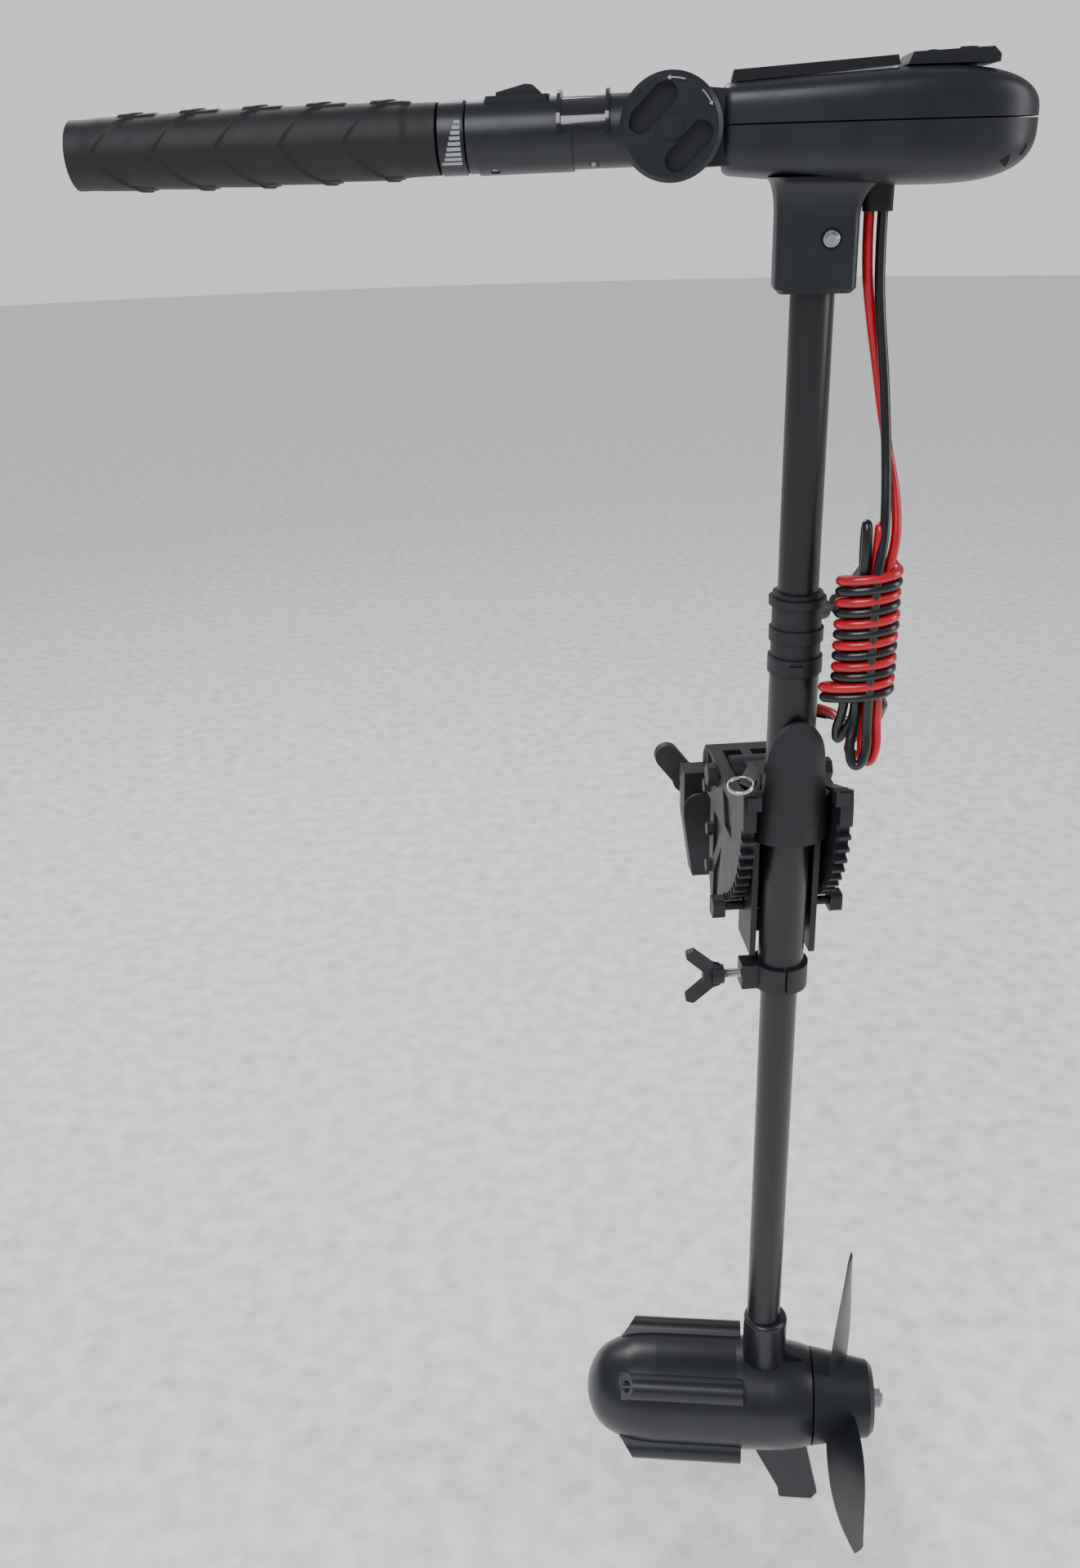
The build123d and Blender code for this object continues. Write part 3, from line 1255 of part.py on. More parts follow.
with BuildPart() as propeller:
    with BuildSketch(side(motor)) as hub_profile:
        with BuildLine():
            Polyline((PROP_START + 0.5, 0), (PROP_START + 0.5, HUB_FRONT_R), (PROP_END - 4, HUB_END_R),
                     (PROP_END, HUB_END_R - 4), (PROP_END, 0), close=True)
        make_face()
    revolve(axis=motor_axis)
    for step in range(BLADES):
        turn = radians(PROP_FIRST + 360 / BLADES * step)
        out = turned(motor, (0, cos(turn), sin(turn)))
        for radius in (30, 60, 95, 118, PROP_R):
            share = (radius - 30) / (PROP_R - 30)
            pitch = -radians(24 - 11 * share)
            across = turned(motor, (sin(pitch), -sin(turn) * cos(pitch), cos(turn) * cos(pitch)))
            middle = Vector(motor.from_local_coords(Vector(68 + 7 * share, 0, 0))) + out * radius
            half = blade_chord(radius)
            thick = 3.4 - 2 * share
            with BuildSketch(Plane(middle, x_dir=across, z_dir=out)):
                with BuildLine():
                    ThreePointArc((-half, 0), (0, thick + 1.5), (half, 0))
                    ThreePointArc((half, 0), (0, 1.5 - thick), (-half, 0))
                make_face()
        loft()
    with BuildSketch(end(motor, PROP_START)):
        Circle(36)
        Circle(13, mode=Mode.SUBTRACT)
    extrude(amount=18, mode=Mode.SUBTRACT)
    with BuildSketch(end(motor, PROP_START)):
        Circle(AXLE_R + 0.02)
    extrude(amount=60, mode=Mode.SUBTRACT)
    with BuildSketch(side(motor, 14.2, 54)):
        Circle(2.02)
    extrude(amount=28.4, mode=Mode.SUBTRACT)
    with BuildSketch(end(motor, PROP_END - 12)):
        Circle(24)
        Circle(12, mode=Mode.SUBTRACT)
    extrude(amount=12, mode=Mode.SUBTRACT)
save(propeller, "propeller")

with BuildPart() as prop_nut:
    with BuildSketch(end(motor, PROP_END)):
        RegularPolygon(8.5, 6)
        Circle(AXLE_R + 0.02, mode=Mode.SUBTRACT)
    extrude(amount=8)
    with BuildSketch(end(motor, PROP_END)):
        Circle(11)
        Circle(AXLE_R + 0.02, mode=Mode.SUBTRACT)
    extrude(amount=1.5)
save_group([drive_pin.part, prop_nut.part], "prop_fasteners")

# ---- battery leads: a run down from the gland, a tied hank and its tails --------------
LEAD_R = 3.0


def corner_radii(points):
    """For each inner point, the largest arc that its two runs allow."""
    radii = []
    for before, here, after in zip(points, points[1:], points[2:]):
        one = Vector(*here) - Vector(*before)
        two = Vector(*after) - Vector(*here)
        half_turn = radians(one.get_angle(two)) / 2
        radii.append(0.45 * min(one.length, two.length) / tan(half_turn))
    return radii


def cord_tube(points, name):
    radii = corner_radii(points)
    print(name, "radii", [round(r) for r in radii])
    with BuildPart() as tube:
        with BuildLine() as path:
            FilletPolyline(*[steer.from_local_coords(Vector(*p)) for p in points], radius=radii)
        with BuildSketch(Plane(path.wire() @ 0, z_dir=path.wire() % 0)):
            Circle(LEAD_R)
        sweep()
    print(name, "volume share", round(tube.part.volume / (pi * LEAD_R ** 2 * path.wire().length), 4))
    return tube.part


red_run = [(32, -1, 433), (32, -1, 405), (36.5, 0, 374), (42.5, 0, 343), (48, -2, 312),
           (54, -7, 283), (58, -14, 259), (58, -18, 237)]
black_run = [(40, -3, 433), (40, -3, 405), (42, -5, 375), (46, -8, 344), (49, -11, 313),
             (51, -15, 284), (51.3, -20, 260), (50.5, -22, 237)]
HANK_TOP = 237.0
WRAP_TOP = 214.0
WRAP_BOTTOM = 124.0
HANK_BOTTOM = 80.0
HANK_X = 44.0
HANK_Y = -25.0


def hank_section(z, width, depth, x=HANK_X, y=HANK_Y):
    with BuildSketch(level(steer, z, x, y)) as section:
        RectangleRounded(width, depth, min(width, depth) / 2 - 0.5)
    return section.sketch


with BuildPart() as lead_hank:
    loft([hank_section(WRAP_TOP, 30, 20), hank_section(HANK_TOP - 12, 36, 22),
          hank_section(HANK_TOP, 27, 15, HANK_X + 7)])
    loft([hank_section(WRAP_BOTTOM, 34, 27), hank_section(170, 36, 28),
          hank_section(WRAP_TOP, 35, 27)])
    loft([hank_section(HANK_BOTTOM, 22, 14, HANK_X + 5), hank_section(HANK_BOTTOM + 14, 28, 20, HANK_X + 6),
          hank_section(WRAP_BOTTOM, 30, 20)])
save(lead_hank, "lead_hank")

red_tail = [(44, -19, 92), (36, -7, 90), (36, 11, 88), (37, 28, 89), (28, 42, 91), (12, 47, 92)]
black_tail = [(52, -19, 88), (48, -4, 84), (49, 14, 83), (47, 33, 83), (36, 48, 84), (20, 54, 85)]
save_group([cord_tube(red_run, "red run"), cord_tube(red_tail, "red tail")], "lead_red")
save_group([cord_tube(black_run, "black run"), cord_tube(black_tail, "black tail")], "lead_black")


def ring_terminal(points):
    """A crimped barrel on a lead's end, with a flat eye beyond it."""
    last = Vector(steer.from_local_coords(Vector(*points[-1])))
    before = Vector(steer.from_local_coords(Vector(*points[-2])))
    way = (last - before).normalized()
    barrel = Plane(last, z_dir=way)
    with BuildPart() as terminal:
        with BuildSketch(barrel):
            Circle(3.4)
        extrude(amount=11)
        flat = Plane(last + way * 19, x_dir=way, z_dir=way.cross(Vector(0, 0, 1)).cross(way))
        with BuildSketch(flat.offset(-0.8)):
            Circle(6.5)
            with Locations((-7, 0)):
                Rectangle(8, 6)
        extrude(amount=1.6)
        with BuildSketch(flat.offset(-2)):
            Circle(4.1)
        extrude(amount=4, mode=Mode.SUBTRACT)
    return terminal.part


save_group([ring_terminal(red_tail), ring_terminal(black_tail)], "lead_terminals")
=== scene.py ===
import json
from math import cos, pi, radians, sin, tau

import bmesh
import bpy
from mathutils import Matrix, Vector


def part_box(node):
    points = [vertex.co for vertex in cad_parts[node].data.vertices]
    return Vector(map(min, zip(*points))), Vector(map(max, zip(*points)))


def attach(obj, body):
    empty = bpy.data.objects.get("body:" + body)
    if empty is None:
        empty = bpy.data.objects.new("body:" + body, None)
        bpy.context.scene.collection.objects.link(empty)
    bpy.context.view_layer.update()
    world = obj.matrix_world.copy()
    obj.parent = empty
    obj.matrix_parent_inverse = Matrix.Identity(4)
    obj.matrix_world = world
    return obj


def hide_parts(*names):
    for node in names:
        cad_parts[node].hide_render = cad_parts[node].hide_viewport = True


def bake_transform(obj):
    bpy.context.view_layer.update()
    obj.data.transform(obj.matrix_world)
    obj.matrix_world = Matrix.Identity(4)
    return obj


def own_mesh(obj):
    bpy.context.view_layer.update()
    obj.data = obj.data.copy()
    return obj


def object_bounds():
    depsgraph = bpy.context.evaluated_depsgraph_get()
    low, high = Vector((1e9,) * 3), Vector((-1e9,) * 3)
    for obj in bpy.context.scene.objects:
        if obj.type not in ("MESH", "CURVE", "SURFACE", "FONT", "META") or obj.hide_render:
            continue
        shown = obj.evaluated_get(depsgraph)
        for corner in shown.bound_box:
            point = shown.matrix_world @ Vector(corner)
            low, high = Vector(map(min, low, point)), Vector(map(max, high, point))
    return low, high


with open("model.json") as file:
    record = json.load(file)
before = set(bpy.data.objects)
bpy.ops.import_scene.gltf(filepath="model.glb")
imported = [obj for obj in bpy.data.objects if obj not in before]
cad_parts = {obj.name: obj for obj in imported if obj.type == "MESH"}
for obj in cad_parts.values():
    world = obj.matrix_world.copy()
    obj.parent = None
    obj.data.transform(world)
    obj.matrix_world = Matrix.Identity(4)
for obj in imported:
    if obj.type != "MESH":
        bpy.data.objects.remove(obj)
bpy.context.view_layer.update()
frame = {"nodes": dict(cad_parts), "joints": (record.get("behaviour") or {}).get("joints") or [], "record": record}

joints = {joint["name"]: joint for joint in frame["joints"]}


# ---- frames ---------------------------------------------------------------------------
def frame_of(origin, x_dir, y_dir):
    x_dir, y_dir = Vector(x_dir).normalized(), Vector(y_dir).normalized()
    matrix = Matrix((x_dir, y_dir, x_dir.cross(y_dir))).transposed().to_4x4()
    matrix.translation = origin
    return matrix


steering_line = Vector((*joints["steer"]["pos_m"][:2], 0))
motor_way = joints["prop_spin"]["axis"]
head_across = joints["tiller_tilt"]["axis"]
STEER = frame_of(steering_line, motor_way, head_across)
SWIVEL = Matrix.Translation(steering_line)
TILLER = frame_of(joints["tiller_tilt"]["pos_m"], joints["throttle"]["axis"], head_across)
MOTOR = frame_of(joints["prop_spin"]["pos_m"], motor_way, head_across)


def extent(node, base):
    """Lowest and highest corner of a CAD node, in one of the frames above."""
    inverse = base.inverted()
    points = [inverse @ v.co for v in frame["nodes"][node].data.vertices]
    return [Vector(pick(p[k] for p in points) for k in range(3)) for pick in (min, max)]


# ---- camera ---------------------------------------------------------------------------
LENS_MM = 32.8
SIGHT = frame_of((-0.2456, -1.0491, 0.468), (0.99683, -0.07735, -0.0232), (0.06021, 0.39778, 0.91566))
camera_data = bpy.data.cameras.new("camera")
camera_data.lens = LENS_MM
camera_data.sensor_width = 36
camera = bpy.data.objects.new("camera", camera_data)
camera.matrix_world = SIGHT
bpy.context.scene.collection.objects.link(camera)
bpy.context.scene.camera = camera


# ---- materials ------------------------------------------------------------------------
class Surface:
    """A node tree being built round one Principled shader."""

    def __init__(self, name, colour, roughness, **sockets):
        self.material = bpy.data.materials.new(name)
        self.material.use_nodes = True
        self.nodes = self.material.node_tree.nodes
        self.links = self.material.node_tree.links
        self.shader = self.nodes["Principled BSDF"]
        self.colour = (*colour[:3], 1)
        self.shader.inputs["Base Color"].default_value = self.colour
        self.shader.inputs["Roughness"].default_value = roughness
        self.roughness = roughness
        for socket, value in sockets.items():
            self.shader.inputs[socket.replace("_", " ")].default_value = value
        self.where = self.nodes.new("ShaderNodeTexCoord").outputs["Object"]

    def stretched(self, scale):
        mapping = self.nodes.new("ShaderNodeMapping")
        mapping.inputs["Scale"].default_value = scale
        self.links.new(self.where, mapping.inputs["Vector"])
        return mapping.outputs["Vector"]

    def noise(self, scale, detail=3, where=None):
        node = self.nodes.new("ShaderNodeTexNoise")
        node.inputs["Scale"].default_value = scale
        node.inputs["Detail"].default_value = detail
        self.links.new(where or self.where, node.inputs["Vector"])
        return node.outputs["Fac"]

    def mottled(self, factor, low, high):
        """Colour drifts between two multiples of the base colour."""
        ramp = self.nodes.new("ShaderNodeValToRGB")
        for element, level, share in zip(ramp.color_ramp.elements, (low, high), (0.32, 0.68)):
            element.position = share
            element.color = (*[min(1, c * level) for c in self.colour[:3]], 1)
        self.links.new(factor, ramp.inputs["Fac"])
        self.links.new(ramp.outputs["Color"], self.shader.inputs["Base Color"])
        return self

    def polish(self, factor, spread):
        """Roughness drifts either side of its value."""
        scale = self.nodes.new("ShaderNodeMapRange")
        scale.inputs["To Min"].default_value = max(0.02, self.roughness - spread)
        scale.inputs["To Max"].default_value = min(1, self.roughness + spread)
        self.links.new(factor, scale.inputs["Value"])
        self.links.new(scale.outputs["Result"], self.shader.inputs["Roughness"])
        return self

    def bump(self, height, depth, strength=0.5):
        node = self.nodes.new("ShaderNodeBump")
        node.inputs["Distance"].default_value = depth
        node.inputs["Strength"].default_value = strength
        self.links.new(height, node.inputs["Height"])
        before = self.shader.inputs["Normal"].links
        if before:
            self.links.new(before[0].from_socket, node.inputs["Normal"])
        self.links.new(node.outputs["Normal"], self.shader.inputs["Normal"])
        return self


def moulded(name, colour, roughness, grain=900, depth=0.00012, **sockets):
    """Moulded plastic: a fine spark-eroded grain over slow drifts of tone and polish."""
    surface = Surface(name, colour, roughness, **sockets)
    surface.mottled(surface.noise(38), 0.8, 1.25)
    surface.polish(surface.noise(70, 4), 0.07)
    surface.bump(surface.noise(grain, 2), depth)
    surface.bump(surface.noise(26, 1), 0.0004, 0.25)
    return surface.material


def metal(name, colour, roughness, scratch, **sockets):
    """Metal with fine scratches drawn out along one direction."""
    surface = Surface(name, colour, roughness, Metallic=1.0, **sockets)
    lines = surface.noise(1, 4, surface.stretched(scratch))
    surface.mottled(lines, 0.85, 1.1)
    surface.polish(surface.noise(260, 3), 0.09)
    surface.bump(lines, 0.00003, 0.4)
    return surface.material


def painted(name, colour, roughness):
    """Sprayed paint with orange peel under a thin clear coat."""
    surface = Surface(name, colour, roughness, Coat_Weight=0.25, Coat_Roughness=0.25)
    surface.mottled(surface.noise(30), 0.8, 1.2)
    surface.polish(surface.noise(90, 4), 0.06)
    surface.bump(surface.noise(520, 2), 0.00009, 0.5)
    return surface.material


def drawn_tube(name, colour, roughness):
    """A pultruded tube: faint streaks along its length."""
    surface = Surface(name, colour, roughness, Coat_Weight=0.15, Coat_Roughness=0.3)
    streaks = surface.noise(1, 4, surface.stretched((900, 900, 14)))
    surface.mottled(streaks, 0.82, 1.22)
    surface.polish(surface.noise(45, 4), 0.08)
    surface.bump(streaks, 0.00006, 0.4)
    return surface.material


def insulation(name, colour):
    """Glossy soft vinyl, a little uneven where it has been bent."""
    surface = Surface(name, colour, 0.28, Coat_Weight=0.35, Coat_Roughness=0.18)
    surface.mottled(surface.noise(85), 0.86, 1.12)
    surface.polish(surface.noise(150, 3), 0.06)
    surface.bump(surface.noise(210, 2), 0.00012, 0.35)
    return surface.material


def webbing(name, colour):
    """Woven nylon tape: warp and weft from the strap's own UV map."""
    surface = Surface(name, colour, 0.72, Sheen_Weight=0.4, Sheen_Roughness=0.5)
    uv = surface.nodes.new("ShaderNodeUVMap")
    uv.uv_map = "weave"
    heights = []
    for rotation, scale in ((0, 160), (pi / 2, 120)):
        turn = surface.nodes.new("ShaderNodeMapping")
        turn.inputs["Rotation"].default_value = (0, 0, rotation)
        wave = surface.nodes.new("ShaderNodeTexWave")
        wave.inputs["Scale"].default_value = scale
        wave.inputs["Distortion"].default_value = 0.6
        surface.links.new(uv.outputs["UV"], turn.inputs["Vector"])
        surface.links.new(turn.outputs["Vector"], wave.inputs["Vector"])
        heights.append(wave.outputs["Fac"])
    weave = surface.nodes.new("ShaderNodeMath")
    weave.operation = "MULTIPLY"
    for height, socket in zip(heights, weave.inputs):
        surface.links.new(height, socket)
    surface.mottled(weave.outputs["Value"], 0.6, 1.9)
    surface.bump(weave.outputs["Value"], 0.0005, 0.8)
    return surface.material


ALONG = (30, 30, 1400)
materials = {
    "casing_plastic": moulded("satin_casing", (0.0095, 0.0115, 0.0165), 0.38),
    "gloss_black": moulded("polished_black", (0.008, 0.009, 0.013), 0.1, grain=300, depth=0.00002,
                           Coat_Weight=0.6, Coat_Roughness=0.05),
    "bracket_nylon": moulded("glass_nylon", (0.0115, 0.0122, 0.0155), 0.48, grain=620, depth=0.0002),
    "knob_grey": moulded("grey_nylon", (0.028, 0.029, 0.033), 0.52, grain=620, depth=0.0002),
    "tube_black": drawn_tube("pultruded_tube", (0.0075, 0.008, 0.0105), 0.36),
    "motor_paint": painted("motor_paint", (0.0085, 0.0105, 0.0155), 0.38),
    "steel": metal("stainless", (0.56, 0.56, 0.57), 0.28, ALONG),
    "nickel": metal("nickel_plate", (0.73, 0.71, 0.66), 0.16, (160, 160, 160)),
    "webbing": webbing("nylon_webbing", (0.018, 0.02, 0.027)),
    "rubber": moulded("moulded_rubber", (0.008, 0.0084, 0.0108), 0.6, grain=1100, depth=0.0003),
    "lead_red": insulation("red_insulation", (0.52, 0.006, 0.014)),
    "lead_black": insulation("black_insulation", (0.006, 0.0065, 0.009)),
    "lens": moulded("smoked_lens", (0.05, 0.055, 0.07), 0.08, grain=200, depth=0.00001,
                    Transmission_Weight=0.5),
    "magnet": moulded("ferrite", (0.05, 0.05, 0.055), 0.6),
    "board": moulded("laminate", (0.02, 0.14, 0.06), 0.4),
    "copper": metal("windings", (0.6, 0.28, 0.12), 0.35, (900, 900, 30)),
    "white_nylon": moulded("natural_nylon", (0.55, 0.54, 0.50), 0.45),
}
mark_paint = moulded("pale_mark", (0.34, 0.35, 0.37), 0.55)
# Painted shade: a near-black colour laid inside the screw's counterbore and the drain slots, where shadow falls in
# the hollows.
recess_shade_paint = moulded("recess", (0.004, 0.004, 0.005), 0.8)
floor_paint = moulded("pale_floor", (0.85, 0.85, 0.85), 0.85, grain=60)

# Nodes that show darker in the photo than their slot does elsewhere.
DARK_TRIM = {"swivel_bushings": "bracket_nylon", "bracket_fasteners": "bracket_nylon", "armature": "steel",
             "lock_rod": "bracket_nylon", "pivot_bolt": "bracket_nylon"}
for entry in frame["record"]["subparts"]:
    data = frame["nodes"][entry["node"]].data
    data.materials.clear()
    data.materials.append(materials[DARK_TRIM.get(entry["node"], entry["material_slot"])])


# ---- making meshes --------------------------------------------------------------------
def finished(name, mesh, body, slot, material=None, smooth_angle=35):
    """Puts a mesh in the scene as a piece that rides on a body."""
    mesh.materials.clear()
    mesh.materials.append(material or materials[slot])
    piece = bpy.data.objects.new(name, mesh)
    bpy.context.scene.collection.objects.link(piece)
    mesh.shade_smooth()
    mesh.set_sharp_from_angle(angle=radians(smooth_angle))
    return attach(piece, body) if body else piece


def skinned(name, rings, base, body, slot, material=None, smooth_angle=35):
    """A skin over rings of points given in a frame, capped at both ends."""
    bm = bmesh.new()
    rows = [[bm.verts.new(base @ Vector(p)) for p in ring] for ring in rings]
    for one, two in zip(rows, rows[1:]):
        count = len(one)
        for k in range(count):
            bm.faces.new((one[k], one[(k + 1) % count], two[(k + 1) % count], two[k]))
    for row in (rows[0], rows[-1]):
        bm.faces.new(row)
    bmesh.ops.recalc_face_normals(bm, faces=bm.faces)
    mesh = bpy.data.meshes.new(name)
    bm.to_mesh(mesh)
    bm.free()
    return finished(name, mesh, body, slot, material, smooth_angle)


def spread(count, low, high):
    """Evenly spaced numbers, both ends included."""
    return [low + (high - low) * k / (count - 1) for k in range(count)]


def rounded_rectangle(x_low, x_high, y_low, y_high, corner, z, steps=6):
    """Points round a rectangle with round corners, level at z."""
    points = []
    for x, y, turn in ((x_high - corner, y_high - corner, 0), (x_low + corner, y_high - corner, 1),
                       (x_low + corner, y_low + corner, 2), (x_high - corner, y_low + corner, 3)):
        for angle in spread(steps, turn * pi / 2, (turn + 1) * pi / 2):
            points.append((x + corner * cos(angle), y + corner * sin(angle), z))
    return points


def turned_profile(name, profile, base, body, slot, material=None, axis="x", count=96, smooth_angle=35):
    """A shape turned about a frame's X or Y axis, from (along, radius) points."""
    rings = []
    for along, radius in profile:
        circle = [(radius * cos(a), radius * sin(a)) for a in spread(count + 1, 0, tau)[:-1]]
        rings.append([(along, u, v) if axis == "x" else (u, along, v) for u, v in circle])
    return skinned(name, rings, base, body, slot, material, smooth_angle=smooth_angle)


# ---- battery leads --------------------------------------------------------------------
LEAD_D = 0.0068
HANK = Vector((0.044, -0.025, 0))
COLUMN = 0.0035  # half the spacing of the strands inside the wraps
WRAP_HALF = (0.0178, 0.0107)
WRAP_EASE = 1.06
WRAP_PITCH = 0.0149
TURNS = 6
TURN_POINTS = 14
FIRST_ANGLE = -0.5
TOP_OF_RED_WRAPS = 0.2155
TOP_OF_BLACK_WRAPS = TOP_OF_RED_WRAPS - 0.0071


def wraps(top, loose):
    """Turns of the lead round the strands, working down; the last is looser to the left."""
    points = []
    for k in range(TURNS * TURN_POINTS + 1):
        angle = tau * k / TURN_POINTS + FIRST_ANGLE
        turn = k / TURN_POINTS
        wide = WRAP_EASE + (0.05 * sin(2.3 * turn)) ** 2
        x = WRAP_HALF[0] * wide * cos(angle)
        if cos(angle) < 0 and turn > TURNS - 1:
            x *= loose
        elif cos(angle) > 0:
            x += 0.0007 * sin(3.1 * turn)
        y = -WRAP_HALF[1] * WRAP_EASE * sin(angle)
        points.append((HANK.x + x, HANK.y + y, top - WRAP_PITCH * turn))
    return points


def strand(column, row, levels):
    """A straight stretch inside the wraps."""
    return [(HANK.x + column * COLUMN, HANK.y + row * COLUMN, z) for z in levels]


LEVELS_DOWN = (0.212, 0.185, 0.158, 0.131, 0.108)
LEVELS_UP = LEVELS_DOWN[::-1]

red_route = [
    (0.032, -0.001, 0.433), (0.032, -0.001, 0.405), (0.0365, 0.000, 0.374), (0.0425, 0.000, 0.343),
    (0.048, -0.002, 0.312), (0.054, -0.007, 0.283), (0.059, -0.016, 0.259), (0.060, -0.025, 0.234),
    *strand(3, -1, LEVELS_DOWN),
    (0.0560, -0.0300, 0.092), (0.0525, -0.0325, 0.080), (0.0470, -0.0320, 0.081), (0.0455, -0.0295, 0.094),
    *strand(1, -1, LEVELS_UP),
    (0.0480, -0.0290, 0.2300), (0.0485, -0.0275, 0.2430), (0.0490, -0.0230, 0.2430),
    (0.0485, -0.0215, 0.2300),
    *strand(1, 1, LEVELS_DOWN),
    (0.0420, -0.0200, 0.095), (0.0370, -0.0190, 0.0850), (0.0430, -0.0200, 0.0790),
    (0.0520, -0.0205, 0.0860), (0.0550, -0.0210, 0.098),
    *strand(3, 1, LEVELS_UP[:4]),
    (0.0560, -0.0195, 0.212), (0.0590, -0.0170, 0.2185),
    *wraps(TOP_OF_RED_WRAPS, 1.42),
    (0.0575, -0.0120, 0.119), (0.0530, -0.0100, 0.107), (0.0470, -0.0080, 0.096),
    (0.0400, 0.0000, 0.090), (0.036, 0.011, 0.088), (0.037, 0.028, 0.089), (0.028, 0.042, 0.091),
    (0.012, 0.047, 0.092),
]
black_route = [
    (0.040, -0.003, 0.433), (0.040, -0.003, 0.405), (0.042, -0.005, 0.375), (0.046, -0.008, 0.344),
    (0.049, -0.011, 0.313), (0.051, -0.016, 0.284), (0.0515, -0.024, 0.260), (0.0515, -0.0290, 0.236),
    *strand(1, -3, LEVELS_DOWN),
    (0.0480, -0.0385, 0.090), (0.0440, -0.0400, 0.080), (0.0385, -0.0390, 0.081), (0.0365, -0.0345, 0.094),
    *strand(-1, -1, LEVELS_UP),
    (0.0405, -0.0295, 0.2300), (0.0405, -0.0275, 0.2445), (0.0400, -0.0225, 0.2445),
    (0.0400, -0.0210, 0.2300),
    *strand(-1, 1, LEVELS_DOWN),
    (0.0340, -0.0200, 0.097), (0.0300, -0.0185, 0.0900), (0.0290, -0.0195, 0.1010), (0.0320, -0.0220, 0.110),
    *strand(-3, 0, LEVELS_UP[1:4]),
    (0.0360, -0.0170, 0.203), (0.0470, -0.0125, 0.2095), (0.0580, -0.0140, 0.2110),
    *wraps(TOP_OF_BLACK_WRAPS, 1.36),
    (0.0600, -0.0105, 0.110), (0.0570, -0.0070, 0.100), (0.0520, -0.0020, 0.089),
    (0.049, 0.014, 0.083), (0.047, 0.033, 0.083), (0.036, 0.048, 0.084), (0.020, 0.054, 0.085),
]


def lead(name, slot, route, nodes):
    """A lead as a tube along a smooth NURBS line that its route controls."""
    curve = bpy.data.curves.new(name + "_line", "CURVE")
    curve.dimensions = "3D"
    curve.resolution_u = 5
    spline = curve.splines.new("NURBS")
    spline.points.add(len(route) - 1)
    for point, place in zip(spline.points, route):
        point.co = (*(STEER @ Vector(place)), 1)
    spline.order_u = 3
    spline.use_endpoint_u = True
    line = bpy.data.objects.new(name + "_line", curve)
    bare = bpy.data.meshes.new_from_object(line)
    path = [tuple(v.co) for v in bare.vertices]
    curve.bevel_depth = LEAD_D / 2
    curve.bevel_resolution = 4
    curve.use_fill_caps = True
    tube = bpy.data.meshes.new_from_object(line)
    bpy.data.objects.remove(line)
    bpy.data.curves.remove(curve)
    bpy.data.meshes.remove(bare)
    tube.name = name
    piece = finished(name, tube, None, slot, smooth_angle=80)
    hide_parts(*nodes)
    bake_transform(piece)
    length = sum((Vector(b) - Vector(a)).length for a, b in zip(path, path[1:]))
    return piece, path, length


def crimp_sleeve(name, path):
    """Heat-shrink over the crimp at a lead's far end."""
    end, before = Vector(path[-1]), Vector(path[-3])
    way = (end - before).normalized()
    base = way.to_track_quat("X", "Z").to_matrix().to_4x4()
    base.translation = end
    profile = [(-0.012, 0.0035), (-0.0115, 0.0041), (-0.004, 0.0042), (0.004, 0.0043), (0.0095, 0.0039),
               (0.010, 0.0036)]
    return turned_profile(name + "_crimp", profile, base, "collar", "lead_black", count=24)


red_lead, path, length = lead("red_lead", "lead_red", red_route, ["lead_red", "lead_hank"])
black_lead, path, length = lead("black_lead", "lead_black", black_route, ["lead_black"])
black_crimp = crimp_sleeve("black_lead", path)

# ---- control head ---------------------------------------------------------------------
lower_low, lower_high = extent("head_lower_shell", STEER)
upper_low, upper_high = extent("head_upper_shell", STEER)
PARTING = upper_low.z
HEAD_TOP = upper_high.z
HEAD_REAR = lower_high.x
HEAD_FRONT = upper_low.x
HEAD_HALF = upper_high.y
SOCKET_LOW = lower_low.z
HEAD_BOTTOM = 0.448
SEAM = 0.00045
END_ROUND = 0.005
LEAST = 0.0004


def rounding(x, start, power):
    """Falls from 1 at start to 0 at the head's rear end, as the side of a superellipse does."""
    share = max(0.0, min(1.0, (x - start) / (HEAD_REAR - start)))
    return (1 - share ** power) ** (1 / power)


def fronting(x, start):
    """Rises from 0 at start to 1 at the head's tiller end."""
    return max(0.0, start - x) / (start - HEAD_FRONT)


def head_width(x):
    return HEAD_HALF * rounding(x, 0.03, 2.7) * (1 - 0.2 * fronting(x, 0.03) ** 1.7)


def head_rise(x):
    return (HEAD_TOP - PARTING - 0.001) * rounding(x, 0.062, 2.5) * (1 - 0.2 * fronting(x, 0.05))


def head_drop(x):
    return (PARTING - HEAD_BOTTOM) * rounding(x, 0.058, 2.9) * (1 - 0.22 * fronting(x, 0.05) ** 1.4)


def head_half(name, way, height, power, nodes):
    """One half of the head: superelliptic sections from the tiller end to the round rear end."""
    rings = []
    stations = [HEAD_FRONT + s * END_ROUND for s in (0, 0.12, 0.35, 0.65, 1)]
    rest = HEAD_REAR - HEAD_FRONT - END_ROUND - 0.0002
    stations += [HEAD_FRONT + END_ROUND + rest * sin(t) for t in spread(58, 0.03, pi / 2)]
    for step, x in enumerate(stations):
        ease = (0.9, 0.95, 0.978, 0.993)[step] if step < 4 else 1
        half, tall = max(LEAST, head_width(x) * ease), max(LEAST, height(x) * ease)
        ring = []
        for angle in spread(61, 0, pi):
            c, s = cos(angle), max(0.0, sin(angle))
            y = half * (1 if c > 0 else -1) * abs(c) ** (2 / power)
            ring.append((x, y, PARTING + way * (SEAM + tall * s ** (2 / power))))
        rings.append(ring)
    piece = skinned(name, rings, STEER, "shaft", "casing_plastic", smooth_angle=40)
    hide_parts(*nodes)


head_half("head_upper_case", 1, head_rise, 4.6, ["head_upper_shell"])
head_half("head_lower_case", -1, head_drop, 3.7, ["head_lower_shell", "head_screws"])

